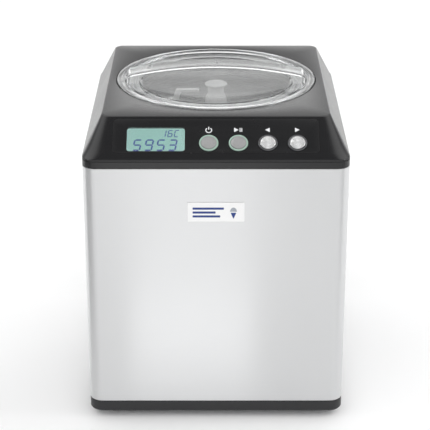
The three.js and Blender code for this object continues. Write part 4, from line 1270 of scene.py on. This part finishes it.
class MAKER_OT_stage(bpy.types.Operator):
    """Pale floor, shading cards, soft lights and the camera."""

    bl_idname = "maker.stage"
    bl_label = "Stage"

    def execute(self, context):
        self.floor()
        for name, card in CARDS.items():
            self.card(name, *card)
        self.sky()
        for name, light in LIGHTS.items():
            self.light(name, *light)
        self.camera()
        bpy.context.scene.view_settings.view_transform = "Standard"
        return {"FINISHED"}

    def floor(self):
        f = Finish("floor_white", Roughness=0.7)
        f.set(Base_Color=f.tint(f.grain(3), (0.935, 0.935, 0.935), (0.95, 0.95, 0.95)))
        r = FLOOR_REACH
        stage_plane("floor", [(-r, -r, 0), (r, -r, 0), (r, r, 0), (-r, r, 0)], f)

    def card(self, name, side, distance, near, far):
        """Grey upright card at one side, unseen by the camera, whose reflection shades the case's corner."""
        x = side * distance
        corners = [(x, near, 0), (x, far, 0), (x, far, CARD_HEIGHT), (x, near, CARD_HEIGHT)]
        card = stage_plane(name, corners, Finish(name + "_grey", Base_Color=(0.5, 0.5, 0.5), Roughness=0.8))
        card.visible_camera = False
        card.visible_diffuse = False

    def sky(self):
        """Studio surround, by the sine of the height above the horizon: greyer behind the machine's top, bright
        above it and dim straight overhead, with a bright band low down behind the machine."""
        world = bpy.data.worlds.new("studio")
        world.use_nodes = True
        n = Nodes(world.node_tree)
        direction = n.node("ShaderNodeTexCoord")
        back, up = (n.node("ShaderNodeSeparateXYZ", None, {0: direction}, output=i) for i in (1, 2))
        whole, band, behind = (n.node("ShaderNodeValToRGB", {"stops": stops}, {0: way}) for stops, way in
                               ((SKY_UP, up), (BAND_UP, up), (BAND_BACK, back)))
        background = n.tree.nodes["Background"]
        n.plug(background.inputs["Strength"], band * behind * BAND_POWER + whole)
        n.plug(background.inputs["Color"], (1, 1, 1))
        bpy.context.scene.world = world

    def light(self, name, place, target, size, power):
        """Square area light aimed at a point, unseen by the camera."""
        lamp = bpy.data.lights.new(name, "AREA")
        lamp.shape = "SQUARE"
        lamp.size = size
        lamp.energy = power
        thing = linked(name, lamp)
        thing.location = place
        thing.visible_camera = False
        thing.rotation_euler = (Vector(target) - Vector(place)).to_track_quat("-Z", "Y").to_euler()

    def camera(self):
        lens = bpy.data.cameras.new("camera")
        lens.sensor_width = 36
        lens.lens = CAMERA_LENS
        thing = linked("camera", lens)
        thing.location = CAMERA_PLACE
        thing.rotation_euler = (math.radians(90 - CAMERA_PITCH), 0, 0)
        bpy.context.scene.camera = thing


class MAKER_PT_sidebar(bpy.types.Panel):
    """Sidebar with the settings and one button for each piece."""

    bl_label = "Ice cream maker"
    bl_idname = "MAKER_PT_sidebar"
    bl_space_type = "VIEW_3D"
    bl_region_type = "UI"
    bl_category = "Ice cream maker"

    def draw(self, context):
        for name in MakerSettings.__annotations__:
            self.layout.prop(context.scene.ice_cream_maker, name)
        for step in STEPS:
            self.layout.operator(step.bl_idname)


STEPS = (
    MAKER_OT_top_moulding, MAKER_OT_steel_case, MAKER_OT_base, MAKER_OT_rear, MAKER_OT_panel,
    MAKER_OT_display, MAKER_OT_buttons, MAKER_OT_badge, MAKER_OT_lid, MAKER_OT_bowl, MAKER_OT_inside, MAKER_OT_stage,
)
CLASSES = (MakerSettings, *STEPS, MAKER_PT_sidebar)


def register():
    for cls in CLASSES:
        bpy.utils.register_class(cls)
    bpy.types.Scene.ice_cream_maker = bpy.props.PointerProperty(type=MakerSettings)


def unregister():
    del bpy.types.Scene.ice_cream_maker
    for cls in reversed(CLASSES):
        bpy.utils.unregister_class(cls)


def main():
    """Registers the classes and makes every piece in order."""
    register()
    for step in STEPS:
        group, name = step.bl_idname.split(".")
        getattr(getattr(bpy.ops, group), name)()


if __name__ == "__main__":
    main()
